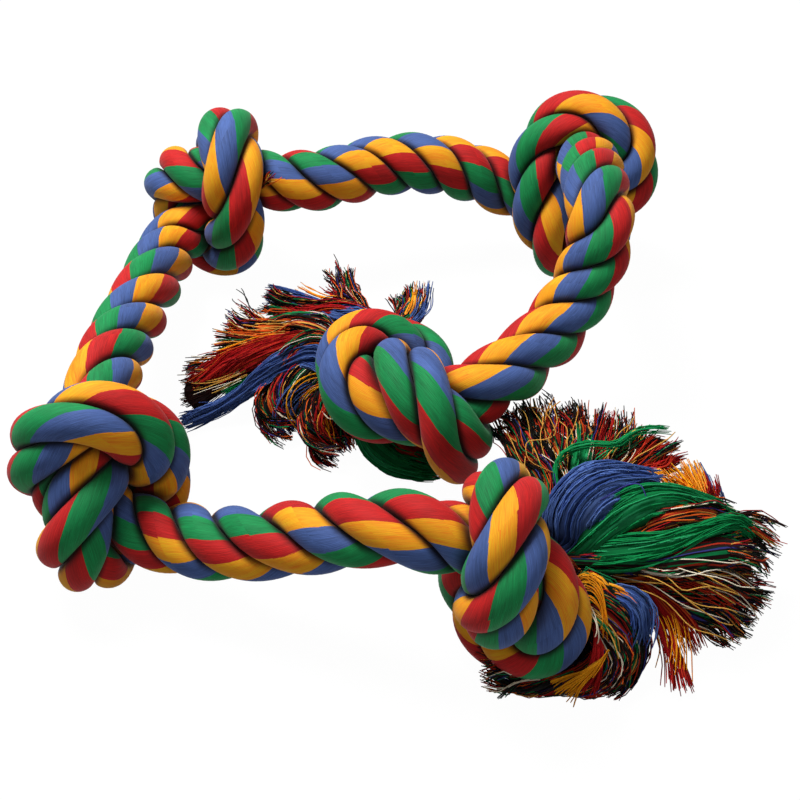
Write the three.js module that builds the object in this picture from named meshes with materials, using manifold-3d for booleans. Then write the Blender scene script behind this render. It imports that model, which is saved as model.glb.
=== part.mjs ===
// Rope dog toy: one thick three-strand cotton rope, laid out in a ring, with five overhand
// knots along it and both ends unlaid into big frayed tassels.
// Every strand is four coloured yarn wraps round a core of mixed yarns. The strands are
// separate solids in each knot and each free stretch, and every wrap and core of the frayed
// ends is a solid of its own. Millimetres, +Z up, origin on the table under the middle.
import * as THREE from "three";
import { mergeVertices } from "three/addons/utils/BufferGeometryUtils.js";
import Module from "manifold-3d";

const wasm = await Module();
wasm.setup();

// Driving sizes
const ropeDiameter = 30;
const layLength = 60; // one full turn of the three strands
const frayLength = 84; // length of a frayed end, from the last knot's mouth to the cut yarns
const wrapDiameter = 9; // one coloured wrap, opened out
const coreDiameter = 13; // the mixed core, opened out
const seam = 0.3; // air where two pieces meet end to end
const sideGap = 0.45; // air between pieces that lie against each other on the real toy
const footCut = 3; // the table presses the lowest strands of a knot flat by this much
const tableCentre = [1.05, -27.05]; // the table point under the middle of the toy, in route places

// Shape of the rope, as shares of its diameter
const strandRadiusShare = 0.232;
const strandOffsetShare = 0.268;
const tightRadiusShare = 0.5; // the strands' outer circle on a free stretch

// Half of an overhand knot, from its middle to the mouth that the rope leaves by, in shares
// of the rope's diameter. The other half is the same, turned half round the Y axis.
const halfKnotShares = [
  [0, 0.8, 0],
  [-0.2, 0.76, 0.72],
  [-0.52, 0.26, 1.2],
  [-0.78, -0.46, 1.06],
  [-0.72, -0.9, 0.38],
  [-0.4, -0.7, -0.28],
  [0.12, -0.16, -0.46],
  [0.75, 0.16, -0.28],
  [1.35, 0.36, -0.22],
];
const knotSpreadShare = 1.12; // slimmer strands lie this much wider, so the knot keeps its size
const passShare = 0.76; // two passes of the rope in a knot lie this share of it apart

// The five knots in order along the rope: middle on the table, the axis from one mouth to
// the other by heading and pitch, the roll about it, and how tightly it is pulled.
const knots = [
  { name: "knot_1_centre", at: [6, -41], lift: 7, heading: -15, pitch: 35, roll: -45, sizeShare: 0.86 },
  { name: "knot_2_right", at: [89, 107], lift: 0, heading: 115, pitch: -45, roll: 5, sizeShare: 0.9 },
  { name: "knot_3_back", at: [-91, 104], lift: -0.5, heading: -160, pitch: -20, roll: -25, sizeShare: 0.87 },
  { name: "knot_4_left", at: [-119, -102], lift: 0.2, heading: -60, pitch: -25, roll: 0, sizeShare: 0.87 },
  { name: "knot_5_front", at: [40, -150], lift: -0.2, heading: 20, pitch: -30, roll: 0, sizeShare: 0.87 },
];
const mouthSteps = 7.4; // control points from a knot's middle to where its solids end

// The free rope between the knots and before the first, as places on its centre line
const routeToKnot = {
  knot_1_centre: [[-28, -19, 27]],
  knot_2_right: [[62, -17, 46], [81, 3, 60], [90, 14, 82], [88, 25, 98]],
  knot_3_back: [[45, 120, 44], [15, 117, 56], [-15, 112, 56], [-39, 96, 56]],
  knot_4_left: [[-118, 40, 36], [-122, -22, 56]],
  knot_5_front: [[-88, -120, 30], [-63, -130, 38], [-35, -137, 50], [-10, -144, 64]],
};
const routeEnd = [[74, -124, 22]];
// How many of a knot's end points make way for the free rope, at its first and last mouth
const routeMakesWay = { knot_1_centre: [1, 0], knot_2_right: [0, 1], knot_3_back: [1, 0], knot_4_left: [0, 1] };

// The frayed ends. Each strand opens into four wraps and a core, and each bundle leaves
// the rope, arches over and lies down: the heading that it takes, how far its tip curls
// round from that, and its reach, arch and tip height as shares of the frayed length.
const bundles = ["blue", "green", "red", "yellow", "core"];
const wrapNumber = 4; // the first of them wrap the core
const frayShares = {
  fray_1_centre: {
    a: {
      blue: [180, 10, 0.88, 0.26, 0.1],
      green: [193, 4, 0.76, 0.16, 0.08],
      red: [167, -2, 0.96, 0.34, 0.14],
      yellow: [155, 6, 0.86, 0.3, 0.2],
      core: [143, 8, 0.96, 0.32, 0.16],
    },
    b: {
      blue: [236, 30, 0.56, 0.26, 0.08],
      green: [296, 12, 0.66, 0.24, 0.08],
      red: [276, 14, 0.64, 0.24, 0.08],
      yellow: [256, 26, 0.58, 0.28, 0.08],
      core: [216, 50, 0.7, 0.3, 0.1],
    },
    c: {
      blue: [126, 0, 0.86, 0.36, 0.26],
      green: [114, 10, 0.94, 0.3, 0.3],
      red: [101, 8, 1.02, 0.36, 0.3],
      yellow: [70, 0, 0.96, 0.28, 0.3],
      core: [87, 8, 1, 0.3, 0.3],
    },
  },
  fray_2_front: {
    a: {
      blue: [27, -6, 0.84, 0.56, 0.36],
      green: [7, -2, 0.98, 0.46, 0.3],
      red: [17, -2, 0.94, 0.62, 0.42],
      yellow: [37, -4, 0.86, 0.5, 0.36],
      core: [-5, -6, 1, 0.4, 0.16],
    },
    b: {
      blue: [-44, -46, 0.6, 0.34, 0.08],
      green: [-27, 6, 0.84, 0.3, 0.1],
      red: [-60, -70, 0.8, 0.24, 0.08],
      yellow: [-52, -56, 0.72, 0.36, 0.08],
      core: [-66, -110, 1.15, 0.14, 0.1],
    },
    c: {
      blue: [75, 12, 0.9, 0.36, 0.3],
      green: [62, -8, 0.98, 0.4, 0.3],
      red: [50, -8, 0.96, 0.36, 0.28],
      yellow: [87, 8, 1.02, 0.3, 0.34],
      core: [99, 6, 1.12, 0.3, 0.34],
    },
  },
};
const firstBendShare = 0.22; // a bundle runs on along the rope for this much of its length
const secondBendShare = 0.62; // and takes its heading as far as here
const rootRadiusShare = 0.3; // a bundle's radius where it leaves its strand, of the strand's
const rootOffsetShare = 0.62; // how far a wrap's root stands from the strand's middle
const fullAtShare = 0.45; // a bundle has opened out by this much of its length

// Facets
const ringsPerLay = 8;
const strandSides = 6;
const bundleRings = 9;
const bundleSides = 6;
const samplesPerStep = 14;
const measureStep = ropeDiameter / 16;
const settleStep = ropeDiameter / 32;

// Colours of the yarns
const yarnColours = { blue: 0x4a66a6, green: 0x0f8a4c, red: 0xc22020, yellow: 0xf9a61c, core: 0x3b2a20 };
const strandColours = { a: yarnColours.blue, b: yarnColours.red, c: yarnColours.yellow };
const yarnRoughness = 0.85;
const thinnest = 1.2;
const roomRounds = 60;
const smoothing = 0.12;
const rootArcShare = 0.45;

const strandNames = Object.keys(strandColours);
const tightRadius = ropeDiameter * tightRadiusShare;

// A knot's control points, turned and placed. Its middle stands so high that its lowest
// strands reach the table.
function knotPoints(knot) {
  const half = halfKnotShares.map((p) => new THREE.Vector3(...p));
  const other = half.slice(1).map((p) => new THREE.Vector3(-p.x, p.y, -p.z)).reverse();
  const turn = new THREE.Matrix4()
    .makeRotationZ(THREE.MathUtils.degToRad(knot.heading))
    .multiply(new THREE.Matrix4().makeRotationY(-THREE.MathUtils.degToRad(knot.pitch)))
    .multiply(new THREE.Matrix4().makeRotationX(THREE.MathUtils.degToRad(knot.roll)));
  const size = ropeDiameter * knot.sizeShare * knotSpreadShare;
  const points = [...other, ...half].map((p) => p.multiplyScalar(size).applyMatrix4(turn));
  const lowest = Math.min(...splinePoints(points).map((p) => p.z));
  const strandReach = (size * passShare) / 2;
  const height = strandReach - lowest - footCut + knot.lift;
  const middle = new THREE.Vector3(knot.at[0], knot.at[1], height);
  return points.map((p) => p.add(middle));
}

// Points along a uniform cubic B-spline, from its first control point to its last
function splinePoints(control) {
  const first = control[0].clone().multiplyScalar(2).sub(control[1]);
  const last = control.at(-1).clone().multiplyScalar(2).sub(control.at(-2));
  const c = [first, ...control, last];
  const points = [];
  const steps = (control.length - 1) * samplesPerStep;
  for (let k = 0; k <= steps; k++) {
    const i = Math.min(Math.floor(k / samplesPerStep), control.length - 2);
    const t = k / samplesPerStep - i;
    const weights = [(1 - t) ** 3, 3 * t ** 3 - 6 * t * t + 4, -3 * t ** 3 + 3 * t * t + 3 * t + 1, t ** 3];
    const point = new THREE.Vector3();
    weights.forEach((w, j) => point.addScaledVector(c[i + j], w / 6));
    points.push(point);
  }
  return points;
}

// The rope's control points from end to end, and where each knot's solids begin and end
function ropeRoute() {
  const control = [];
  const mouths = [];
  for (const knot of knots) {
    for (const place of routeToKnot[knot.name]) control.push(new THREE.Vector3(...place));
    const points = knotPoints(knot);
    const [fromFirst, fromLast] = routeMakesWay[knot.name] ?? [0, 0];
    const middle = control.length - fromFirst + (points.length - 1) / 2;
    mouths.push([middle - mouthSteps, middle + mouthSteps]);
    control.push(...points.slice(fromFirst, points.length - fromLast));
  }
  for (const place of routeEnd) control.push(new THREE.Vector3(...place));
  for (const p of control) p.sub(new THREE.Vector3(tableCentre[0], tableCentre[1], 0));
  return { control, mouths };
}

// A run of points with its length so far, its directions, and a normal that never twists
function measuredRun(points) {
  const lengths = [0];
  for (let i = 1; i < points.length; i++)
    lengths.push(lengths[i - 1] + points[i].distanceTo(points[i - 1]));
  const tangents = points.map((p, i) => {
    const before = points[Math.max(i - 1, 0)];
    const after = points[Math.min(i + 1, points.length - 1)];
    return after.clone().sub(before).normalize();
  });
  const up = new THREE.Vector3(0, 0, 1);
  const normals = [up.addScaledVector(tangents[0], -up.dot(tangents[0])).normalize()];
  const turn = new THREE.Quaternion();
  for (let i = 1; i < points.length; i++) {
    turn.setFromUnitVectors(tangents[i - 1], tangents[i]);
    normals.push(normals[i - 1].clone().applyQuaternion(turn).normalize());
  }
  return { points, lengths, tangents, normals };
}

// Place, direction and normal at a length along a run
function at(run, length) {
  const { lengths } = run;
  let low = 0;
  let high = lengths.length - 1;
  while (high - low > 1) {
    const middle = (low + high) >> 1;
    if (lengths[middle] <= length) low = middle;
    else high = middle;
  }
  const share = (length - lengths[low]) / (lengths[high] - lengths[low]);
  const mix = (list) => list[low].clone().lerp(list[high], share);
  const tangent = mix(run.tangents).normalize();
  const normal = mix(run.normals);
  normal.addScaledVector(tangent, -normal.dot(tangent)).normalize();
  return { point: mix(run.points), tangent, normal, index: low + share };
}

// The radius that the rope has room for at each point of its run: its own, or half the way
// to the rope's nearest other pass, never changing faster along the rope than a gentle taper
const freeArcShare = 1.45; // nearer along the rope than this share of it is the same pass
const taper = 0.3;
function roomyRadii(run) {
  const n = run.points.length;
  const apart = ropeDiameter * freeArcShare;
  const radii = run.points.map((p, i) => {
    let radius = tightRadius;
    for (let j = 0; j < n; j++)
      if (Math.abs(run.lengths[j] - run.lengths[i]) > apart)
        radius = Math.min(radius, (p.distanceTo(run.points[j]) - sideGap) / 2);
    return radius;
  });
  for (let i = 1; i < n; i++)
    radii[i] = Math.min(radii[i], radii[i - 1] + taper * (run.lengths[i] - run.lengths[i - 1]));
  for (let i = n - 2; i >= 0; i--)
    radii[i] = Math.min(radii[i], radii[i + 1] + taper * (run.lengths[i + 1] - run.lengths[i]));
  return radii;
}

const { control, mouths } = ropeRoute();
const rope = measuredRun(splinePoints(control));
const ropeRadii = roomyRadii(rope);
const ropeLength = rope.lengths.at(-1);
const lengthAtStep = (step) => rope.lengths[Math.round(step * samplesPerStep)];

// How far round the rope its upper side is at a length, in turns from the normal
function upperTurn(length) {
  const { tangent, normal } = at(rope, length);
  return Math.atan2(new THREE.Vector3().crossVectors(tangent, normal).z, normal.z) / (2 * Math.PI);
}

// The strands' turns from end to end: about one in each lay length, and strand a uppermost
// at both frayed ends
const firstTurn = upperTurn(0);
const turnsBetween = upperTurn(ropeLength) - firstTurn;
const ropeTurns = Math.round(ropeLength / layLength - turnsBetween) + turnsBetween;

// Middle and radius of one strand at a length along the rope
function strandAt(strand, length) {
  const { point, tangent, normal, index } = at(rope, length);
  const across = new THREE.Vector3().crossVectors(tangent, normal);
  const turns = firstTurn + (ropeTurns * length) / ropeLength + strand / strandNames.length;
  const angle = 2 * Math.PI * turns;
  const ropeRadius = THREE.MathUtils.lerp(
    ropeRadii[Math.floor(index)],
    ropeRadii[Math.min(Math.floor(index) + 1, ropeRadii.length - 1)],
    index % 1,
  );
  const scale = ropeRadius / tightRadiusShare;
  point.addScaledVector(normal, Math.cos(angle) * scale * strandOffsetShare);
  point.addScaledVector(across, Math.sin(angle) * scale * strandOffsetShare);
  return { point, radius: scale * strandRadiusShare };
}

// A ring of one strand at a length along the rope: middle, radius and direction
function strandRing(strand, length) {
  const { point, radius } = strandAt(strand, length);
  const before = strandAt(strand, Math.max(length - measureStep, 0)).point;
  const after = strandAt(strand, Math.min(length + measureStep, ropeLength)).point;
  return { point, radius, tangent: after.sub(before).normalize(), along: length };
}

// A tube before its size is settled: its rings' middles, directions and wished radii, and
// the strand it belongs to
function strandTube(name, strand, from, to) {
  const rings = [];
  const count = Math.max(2, Math.round(((to - from) / layLength) * ringsPerLay));
  for (let i = 0; i <= count; i++) rings.push(strandRing(strand, THREE.MathUtils.lerp(from, to, i / count)));
  return { name, strand, rings, sides: strandSides, colour: strandColours[strandNames[strand]] };
}

const wayOf = (degrees) => {
  const angle = THREE.MathUtils.degToRad(degrees);
  return new THREE.Vector3(Math.cos(angle), Math.sin(angle), 0);
};

// The five bundles of one strand at a frayed end, from the strand's end face to their cut
// tips. The core leaves from the middle and the wraps from round it, each on the side that
// it is bound for.
function strandBundles(fray, strand, atEnd) {
  const table = frayShares[fray][strandNames[strand]];
  const end = atEnd ? ropeLength : 0;
  const outward = atEnd ? 1 : -1;
  const face = strandRing(strand, end);
  const strandWay = face.tangent.multiplyScalar(outward);
  const ropeWay = at(rope, end).tangent.multiplyScalar(outward);
  const side = new THREE.Vector3().crossVectors(strandWay, ropeWay).normalize();
  const other = new THREE.Vector3().crossVectors(strandWay, side);
  const root = face.point.clone().addScaledVector(strandWay, seam);
  const aims = bundles.map((bundle) => {
    const [heading, , reach, arch] = table[bundle];
    const aim = wayOf(heading).multiplyScalar(reach * secondBendShare * frayLength);
    return aim.setZ(arch * frayLength - root.z);
  });
  const mean = aims.reduce((sum, aim) => sum.add(aim), new THREE.Vector3()).divideScalar(aims.length);
  const wraps = bundles.map((bundle, i) => ({ bundle, aim: aims[i].sub(mean) })).slice(0, wrapNumber);
  for (const wrap of wraps) wrap.turn = Math.atan2(wrap.aim.dot(other), wrap.aim.dot(side));
  wraps.sort((p, q) => p.turn - q.turn);
  const step = (2 * Math.PI) / wraps.length;
  const start = Math.atan2(
    wraps.reduce((sum, wrap, i) => sum + Math.sin(wrap.turn - i * step), 0),
    wraps.reduce((sum, wrap, i) => sum + Math.cos(wrap.turn - i * step), 0),
  );
  return bundles.map((bundle) => {
    const slot = wraps.findIndex((wrap) => wrap.bundle === bundle);
    const from = root.clone();
    if (slot >= 0) {
      const turn = start + slot * step;
      from.addScaledVector(side, Math.cos(turn) * face.radius * rootOffsetShare);
      from.addScaledVector(other, Math.sin(turn) * face.radius * rootOffsetShare);
    }
    const [heading, curl, reach, arch, tipHeight] = table[bundle];
    const length = frayLength * reach;
    const fullRadius = (bundle === "core" ? coreDiameter : wrapDiameter) / 2;
    const first = from.clone().addScaledVector(strandWay, frayLength * firstBendShare);
    first.z = Math.max(first.z, fullRadius);
    const second = from.clone().addScaledVector(wayOf(heading), length * secondBendShare);
    second.z = frayLength * arch;
    const tip = second.clone().addScaledVector(wayOf(heading + curl), length * (1 - secondBendShare));
    tip.z = frayLength * tipHeight;
    const curve = new THREE.CubicBezierCurve3(from, first, second, tip);
    const rings = [];
    let along = 0;
    for (let i = 0; i <= bundleRings; i++) {
      const u = i / bundleRings;
      const point = curve.getPoint(u);
      if (i > 0) along += point.distanceTo(rings[i - 1].point);
      const opened = THREE.MathUtils.smoothstep(u, 0, fullAtShare);
      const radius = THREE.MathUtils.lerp(face.radius * rootRadiusShare, fullRadius, opened);
      rings.push({ point, radius, tangent: strandWay.clone(), along: end + outward * along });
    }
    const name = fray + "_strand_" + strandNames[strand] + "_" + bundle + "_yarns";
    return { name, strand, rings, sides: bundleSides, colour: yarnColours[bundle], loose: true };
  });
}

// Every tube of the toy: the strands of each knot and free stretch, then the frayed ends
function allTubes() {
  const tubes = [];
  const half = seam / 2;
  knots.forEach((knot, k) => {
    const from = k === 0 ? 0 : lengthAtStep(mouths[k][0]) + half;
    const to = k === knots.length - 1 ? ropeLength : lengthAtStep(mouths[k][1]) - half;
    strandNames.forEach((name, s) => tubes.push(strandTube(knot.name + "_strand_" + name, s, from, to)));
    if (k === knots.length - 1) return;
    const next = lengthAtStep(mouths[k + 1][0]) - half;
    strandNames.forEach((name, s) =>
      tubes.push(strandTube("stretch_" + (k + 1) + "_strand_" + name, s, to + seam, next)));
  });
  Object.keys(frayShares).forEach((fray, e) =>
    strandNames.forEach((name, s) => tubes.push(...strandBundles(fray, s, e === 1))));
  return tubes;
}

// Points along a tube's chords, each with the two rings that it lies between
function chordSamples(tube, number, step) {
  const samples = [];
  for (let i = 1; i < tube.rings.length; i++) {
    const a = tube.rings[i - 1];
    const b = tube.rings[i];
    const steps = Math.max(1, Math.ceil(a.point.distanceTo(b.point) / step));
    for (let k = 0; k <= steps; k++) {
      const t = k / steps;
      const mix = (key) => THREE.MathUtils.lerp(a[key], b[key], t);
      const point = a.point.clone().lerp(b.point, t);
      samples.push({ tube, number, a, b, t, point, wish: mix("radius"), along: mix("along") });
    }
  }
  return samples;
}

const radiusOf = (sample) => THREE.MathUtils.lerp(sample.a.radius, sample.b.radius, sample.t);

// Whether two samples are neighbours along one strand, and so are free to touch
function sameRun(p, q) {
  if (p.number === q.number) return true;
  if (p.tube.strand !== q.tube.strand || (p.tube.loose && q.tube.loose)) return false;
  const share = p.tube.loose || q.tube.loose ? rootArcShare : freeArcShare / 2;
  return Math.abs(p.along - q.along) < ropeDiameter * share;
}

// Moves the frayed bundles out of each other and off the strands, little by little, with
// their roots held and nothing below the table
function makeRoom(tubes) {
  const apart = new THREE.Vector3();
  for (let round = 0; round < roomRounds; round++) {
    const samples = tubes.flatMap((tube, number) => chordSamples(tube, number, measureStep * 2));
    for (const { rings } of tubes)
      for (const ring of rings) Object.assign(ring, { push: new THREE.Vector3(), pushes: 0 });
    for (const p of samples) {
      if (!p.tube.loose) continue;
      for (const q of samples) {
        const need = p.wish + q.wish + sideGap;
        apart.subVectors(p.point, q.point);
        const distance = apart.length();
        if (distance >= need || sameRun(p, q)) continue;
        const move = ((need - distance) * (q.tube.loose ? 0.5 : 1)) / Math.max(distance, seam);
        for (const [ring, weight] of [[p.a, 1 - p.t], [p.b, p.t]]) {
          ring.push.addScaledVector(apart, move * weight);
          ring.pushes += weight;
        }
      }
    }
    for (const { rings, loose } of tubes) {
      if (!loose) continue;
      const { tangent } = rings[0];
      const { push } = rings[1];
      push.addScaledVector(tangent, -push.dot(tangent));
      rings.slice(1).forEach((ring) => ring.point.addScaledVector(ring.push, 1 / Math.max(ring.pushes, 1)));
      for (let i = 2; i < rings.length; i++) {
        const { point, radius } = rings[i];
        const next = rings[i + 1]?.point ?? point;
        point.lerp(rings[i - 1].point.clone().add(next).multiplyScalar(0.5), i + 1 < rings.length ? smoothing : 0);
        point.z = Math.max(point.z, radius);
      }
    }
  }
  for (const { rings, loose } of tubes)
    if (loose)
      for (let i = 1; i < rings.length; i++) {
        const next = rings[Math.min(i + 1, rings.length - 1)].point;
        rings[i].tangent.subVectors(next, rings[i - 1].point).normalize();
      }
}

// The radius that a bundle has room for beside its own strand's end: it stays past the end
// face, or clear of the strand's side
function roomAtRoot(sample, own) {
  const [root, next] = sample.tube.rings;
  if (sample.a === root && sample.b === next && sample.t < 1) return sample.wish;
  const beyond = sample.point.clone().sub(root.point).dot(root.tangent);
  return Math.max(beyond, sample.point.distanceTo(own.point) - own.wish - sideGap);
}

// Settles every ring's radius so that no tube meets another: two neighbours share the
// distance between them in proportion to the radii that they wish for. Gives the least gap.
function settleRadii(tubes) {
  const samples = tubes.flatMap((tube, number) => chordSamples(tube, number, settleStep));
  const farthest = Math.max(...samples.map((s) => s.wish)) * 2 + sideGap;
  const room = samples.map((s) => (s.tube.loose ? Math.min(s.wish, s.point.z) : s.wish));
  for (let i = 0; i < samples.length; i++)
    for (let j = i + 1; j < samples.length; j++) {
      const p = samples[i];
      const q = samples[j];
      if (Math.abs(p.point.x - q.point.x) > farthest || Math.abs(p.point.y - q.point.y) > farthest) continue;
      if (sameRun(p, q)) {
        const [loose, own] = p.tube.loose ? [i, j] : [j, i];
        if (p.number !== q.number && samples[loose].tube.loose && !samples[own].tube.loose)
          room[loose] = Math.min(room[loose], roomAtRoot(samples[loose], samples[own]));
        continue;
      }
      const free = p.point.distanceTo(q.point) - sideGap;
      room[i] = Math.min(room[i], (free * p.wish) / (p.wish + q.wish));
      room[j] = Math.min(room[j], (free * q.wish) / (p.wish + q.wish));
    }
  samples.forEach((s, i) => {
    s.a.radius = Math.min(s.a.radius, room[i]);
    s.b.radius = Math.min(s.b.radius, room[i]);
  });
  for (const { rings } of tubes) {
    const step = (from, to) =>
      Math.min(rings[to].radius, rings[from].radius + taper * rings[from].point.distanceTo(rings[to].point));
    for (let i = 1; i < rings.length; i++) rings[i].radius = step(i - 1, i);
    for (let i = rings.length - 2; i >= 0; i--) rings[i].radius = step(i + 1, i);
  }
  let least = Infinity;
  for (let i = 0; i < samples.length; i++)
    for (let j = i + 1; j < samples.length; j++) {
      const p = samples[i];
      const q = samples[j];
      if (Math.abs(p.point.x - q.point.x) > farthest || Math.abs(p.point.y - q.point.y) > farthest) continue;
      if (sameRun(p, q)) continue;
      least = Math.min(least, p.point.distanceTo(q.point) - radiusOf(p) - radiusOf(q));
    }
  return least;
}

// A closed tube through its rings, with a flat face at each end
function tubeGeometry({ rings, sides }) {
  const run = measuredRun(rings.map((r) => r.point));
  const positions = [];
  const index = [];
  rings.forEach((ring, i) => {
    const normal = run.normals[i].clone();
    normal.addScaledVector(ring.tangent, -normal.dot(ring.tangent)).normalize();
    const across = new THREE.Vector3().crossVectors(ring.tangent, normal);
    for (let k = 0; k < sides; k++) {
      const angle = (2 * Math.PI * k) / sides;
      const p = ring.point.clone();
      p.addScaledVector(normal, Math.cos(angle) * ring.radius);
      p.addScaledVector(across, Math.sin(angle) * ring.radius);
      positions.push(p.x, p.y, p.z);
    }
  });
  const corner = (i, k) => i * sides + (k % sides);
  for (let i = 1; i < rings.length; i++)
    for (let k = 0; k < sides; k++) {
      index.push(corner(i - 1, k), corner(i - 1, k + 1), corner(i, k + 1));
      index.push(corner(i - 1, k), corner(i, k + 1), corner(i, k));
    }
  for (let k = 1; k < sides - 1; k++) {
    index.push(corner(0, 0), corner(0, k + 1), corner(0, k));
    const last = rings.length - 1;
    index.push(corner(last, 0), corner(last, k), corner(last, k + 1));
  }
  const geometry = new THREE.BufferGeometry();
  geometry.setAttribute("position", new THREE.Float32BufferAttribute(positions, 3));
  geometry.setIndex(index);
  return geometry;
}

const solidOf = (geometry) => {
  const bare = geometry.clone();
  bare.deleteAttribute("normal");
  bare.deleteAttribute("uv");
  const merged = mergeVertices(bare);
  const vertProperties = merged.attributes.position.array;
  const triVerts = new Uint32Array(merged.index.array);
  return new wasm.Manifold(new wasm.Mesh({ numProp: 3, vertProperties, triVerts }));
};

const geometryOf = (solid) => {
  const { vertProperties, triVerts } = solid.getMesh();
  const geometry = new THREE.BufferGeometry();
  geometry.setAttribute("position", new THREE.BufferAttribute(new Float32Array(vertProperties), 3));
  geometry.setIndex(new THREE.BufferAttribute(new Uint32Array(triVerts), 1));
  return geometry;
};

// The table's flat print: whatever of a tube would reach below the table is cut away
function pressedFlat(geometry) {
  geometry.computeBoundingBox();
  const { min, max } = geometry.boundingBox;
  if (min.z >= 0) return geometry;
  const size = max.clone().sub(min).addScalar(ropeDiameter);
  const below = new THREE.BoxGeometry(size.x, size.y, size.z);
  below.translate((min.x + max.x) / 2, (min.y + max.y) / 2, -size.z / 2);
  return geometryOf(solidOf(geometry).subtract(solidOf(below)));
}

const toy = new THREE.Group();
const tubes = allTubes();
makeRoom(tubes);
const leastGap = settleRadii(tubes);
for (const tube of tubes) {
  const least = Math.min(...tube.rings.map((ring) => ring.radius));
  if (least < thinnest) console.log(tube.name + " is only " + least.toFixed(2) + " mm in radius");
  const material = new THREE.MeshStandardMaterial({ color: tube.colour, roughness: yarnRoughness, metalness: 0 });
  const mesh = new THREE.Mesh(pressedFlat(tubeGeometry(tube)), material);
  mesh.name = tube.name;
  toy.add(mesh);
}
console.log("rope " + ropeLength.toFixed(0) + " mm between the frayed ends");
console.log("least gap between pieces side by side " + leastGap.toFixed(2) + " mm");

export default toy;
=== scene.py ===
# %% [markdown]
# # A rope dog toy
# The toy is one thick cotton rope of three strands, lying in a loose ring. Five overhand knots
# are tied in it and both ends are unlaid into big frayed tassels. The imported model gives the
# place and size of every strand and bundle. Here the same rope gets full, pressed strands,
# four-coloured yarns and tassels of single yarns.

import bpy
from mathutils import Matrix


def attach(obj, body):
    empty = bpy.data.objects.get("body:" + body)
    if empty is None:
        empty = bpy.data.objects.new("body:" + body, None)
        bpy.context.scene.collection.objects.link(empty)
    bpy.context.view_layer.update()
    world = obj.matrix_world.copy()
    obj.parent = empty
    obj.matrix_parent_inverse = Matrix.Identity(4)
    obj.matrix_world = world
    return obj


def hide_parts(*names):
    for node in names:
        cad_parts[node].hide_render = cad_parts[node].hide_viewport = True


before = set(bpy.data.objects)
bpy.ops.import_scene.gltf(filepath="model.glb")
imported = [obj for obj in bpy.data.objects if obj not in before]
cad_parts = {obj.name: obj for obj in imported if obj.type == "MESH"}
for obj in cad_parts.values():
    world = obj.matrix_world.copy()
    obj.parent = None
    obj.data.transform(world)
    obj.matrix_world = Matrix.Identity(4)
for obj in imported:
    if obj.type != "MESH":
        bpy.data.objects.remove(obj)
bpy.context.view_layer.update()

import math

import bpy
import numpy as np
from mathutils import Matrix, Vector

MM = 0.001

# %% [markdown]
# ## The camera
# The photograph looks down on the toy from the front, at about 42 degrees, from 0.78 m. The
# two knots at the back give the angle, because their places on the table are known once the
# ring is known. A long lens keeps the front and the back of the ring nearly the same size.

# %% Camera
LOOKING_DOWN = 41.6  # degrees
camera_data = bpy.data.cameras.new("photo_camera")
camera = bpy.data.objects.new("photo_camera", camera_data)
bpy.context.scene.collection.objects.link(camera)
bpy.context.scene.camera = camera
camera_data.lens = 76.5
camera_data.sensor_width = 36
camera_data.clip_start, camera_data.clip_end = 0.05, 20
camera.location = Vector((-1.05, -568.95, 529)) * MM
camera.rotation_euler = (math.radians(90 - LOOKING_DOWN), 0, 0)
print("camera at", tuple(round(x, 3) for x in camera.location))

# %% [markdown]
# ## The rope's route
# A rope is a fixed length that someone has tied and laid down, so it is drawn as one line
# from end to end: free stretches that lie on the table or lean on their neighbours, and the
# same overhand knot five times, turned as each one lies. A uniform cubic B-spline passes
# smoothly near its control points, so a few of them per knot are enough.

# %% Control points of the route, the same as in the solid model
ROPE = 30 * MM
FOOT_CUT = 3 * MM  # how flat the table presses a knot's foot
TABLE_CENTRE = np.array([1.05, -27.05, 0]) * MM
SOLID_SPREAD = 1.12  # the solid model's knots are this much wider, for its slimmer strands
PASS_SHARE = 0.76  # how thick one pass of the rope is in the solid model's knots
# Half of an overhand knot from its middle, in rope diameters. The other half mirrors it.
HALF_KNOT = np.array([
    [0, 0.8, 0], [-0.2, 0.76, 0.72], [-0.52, 0.26, 1.2], [-0.78, -0.46, 1.06], [-0.72, -0.9, 0.38],
    [-0.4, -0.7, -0.28], [0.12, -0.16, -0.46], [0.75, 0.16, -0.28], [1.35, 0.36, -0.22],
])
# Each knot: place on the table, lift, heading, pitch and roll of its axis, size, the free
# rope that leads to it, and how many of its end points make way for the free rope
KNOTS = {
    "knot_1_centre": ((6, -41), 7, -15, 35, -45, 0.86, [(-28, -19, 27)], (1, 0)),
    "knot_2_right": ((89, 107), 0, 115, -45, 5, 0.9,
                     [(62, -17, 46), (81, 3, 60), (90, 14, 82), (88, 25, 98)], (0, 1)),
    "knot_3_back": ((-91, 104), -0.5, -160, -20, -25, 0.87,
                    [(45, 120, 44), (15, 117, 56), (-15, 112, 56), (-39, 96, 56)], (1, 0)),
    "knot_4_left": ((-119, -102), 0.2, -60, -25, 0, 0.87,
                    [(-118, 40, 36), (-122, -22, 56)], (0, 1)),
    "knot_5_front": ((40, -150), -0.2, 20, -30, 0, 0.87,
                     [(-88, -120, 30), (-63, -130, 38), (-35, -137, 50), (-10, -144, 64)], (0, 0)),
}
ROUTE_END = [(74, -124, 22)]
STEPS = 14  # points of the spline to each control point
print(len(KNOTS), "knots of", 2 * len(HALF_KNOT) - 1, "control points each")


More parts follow.
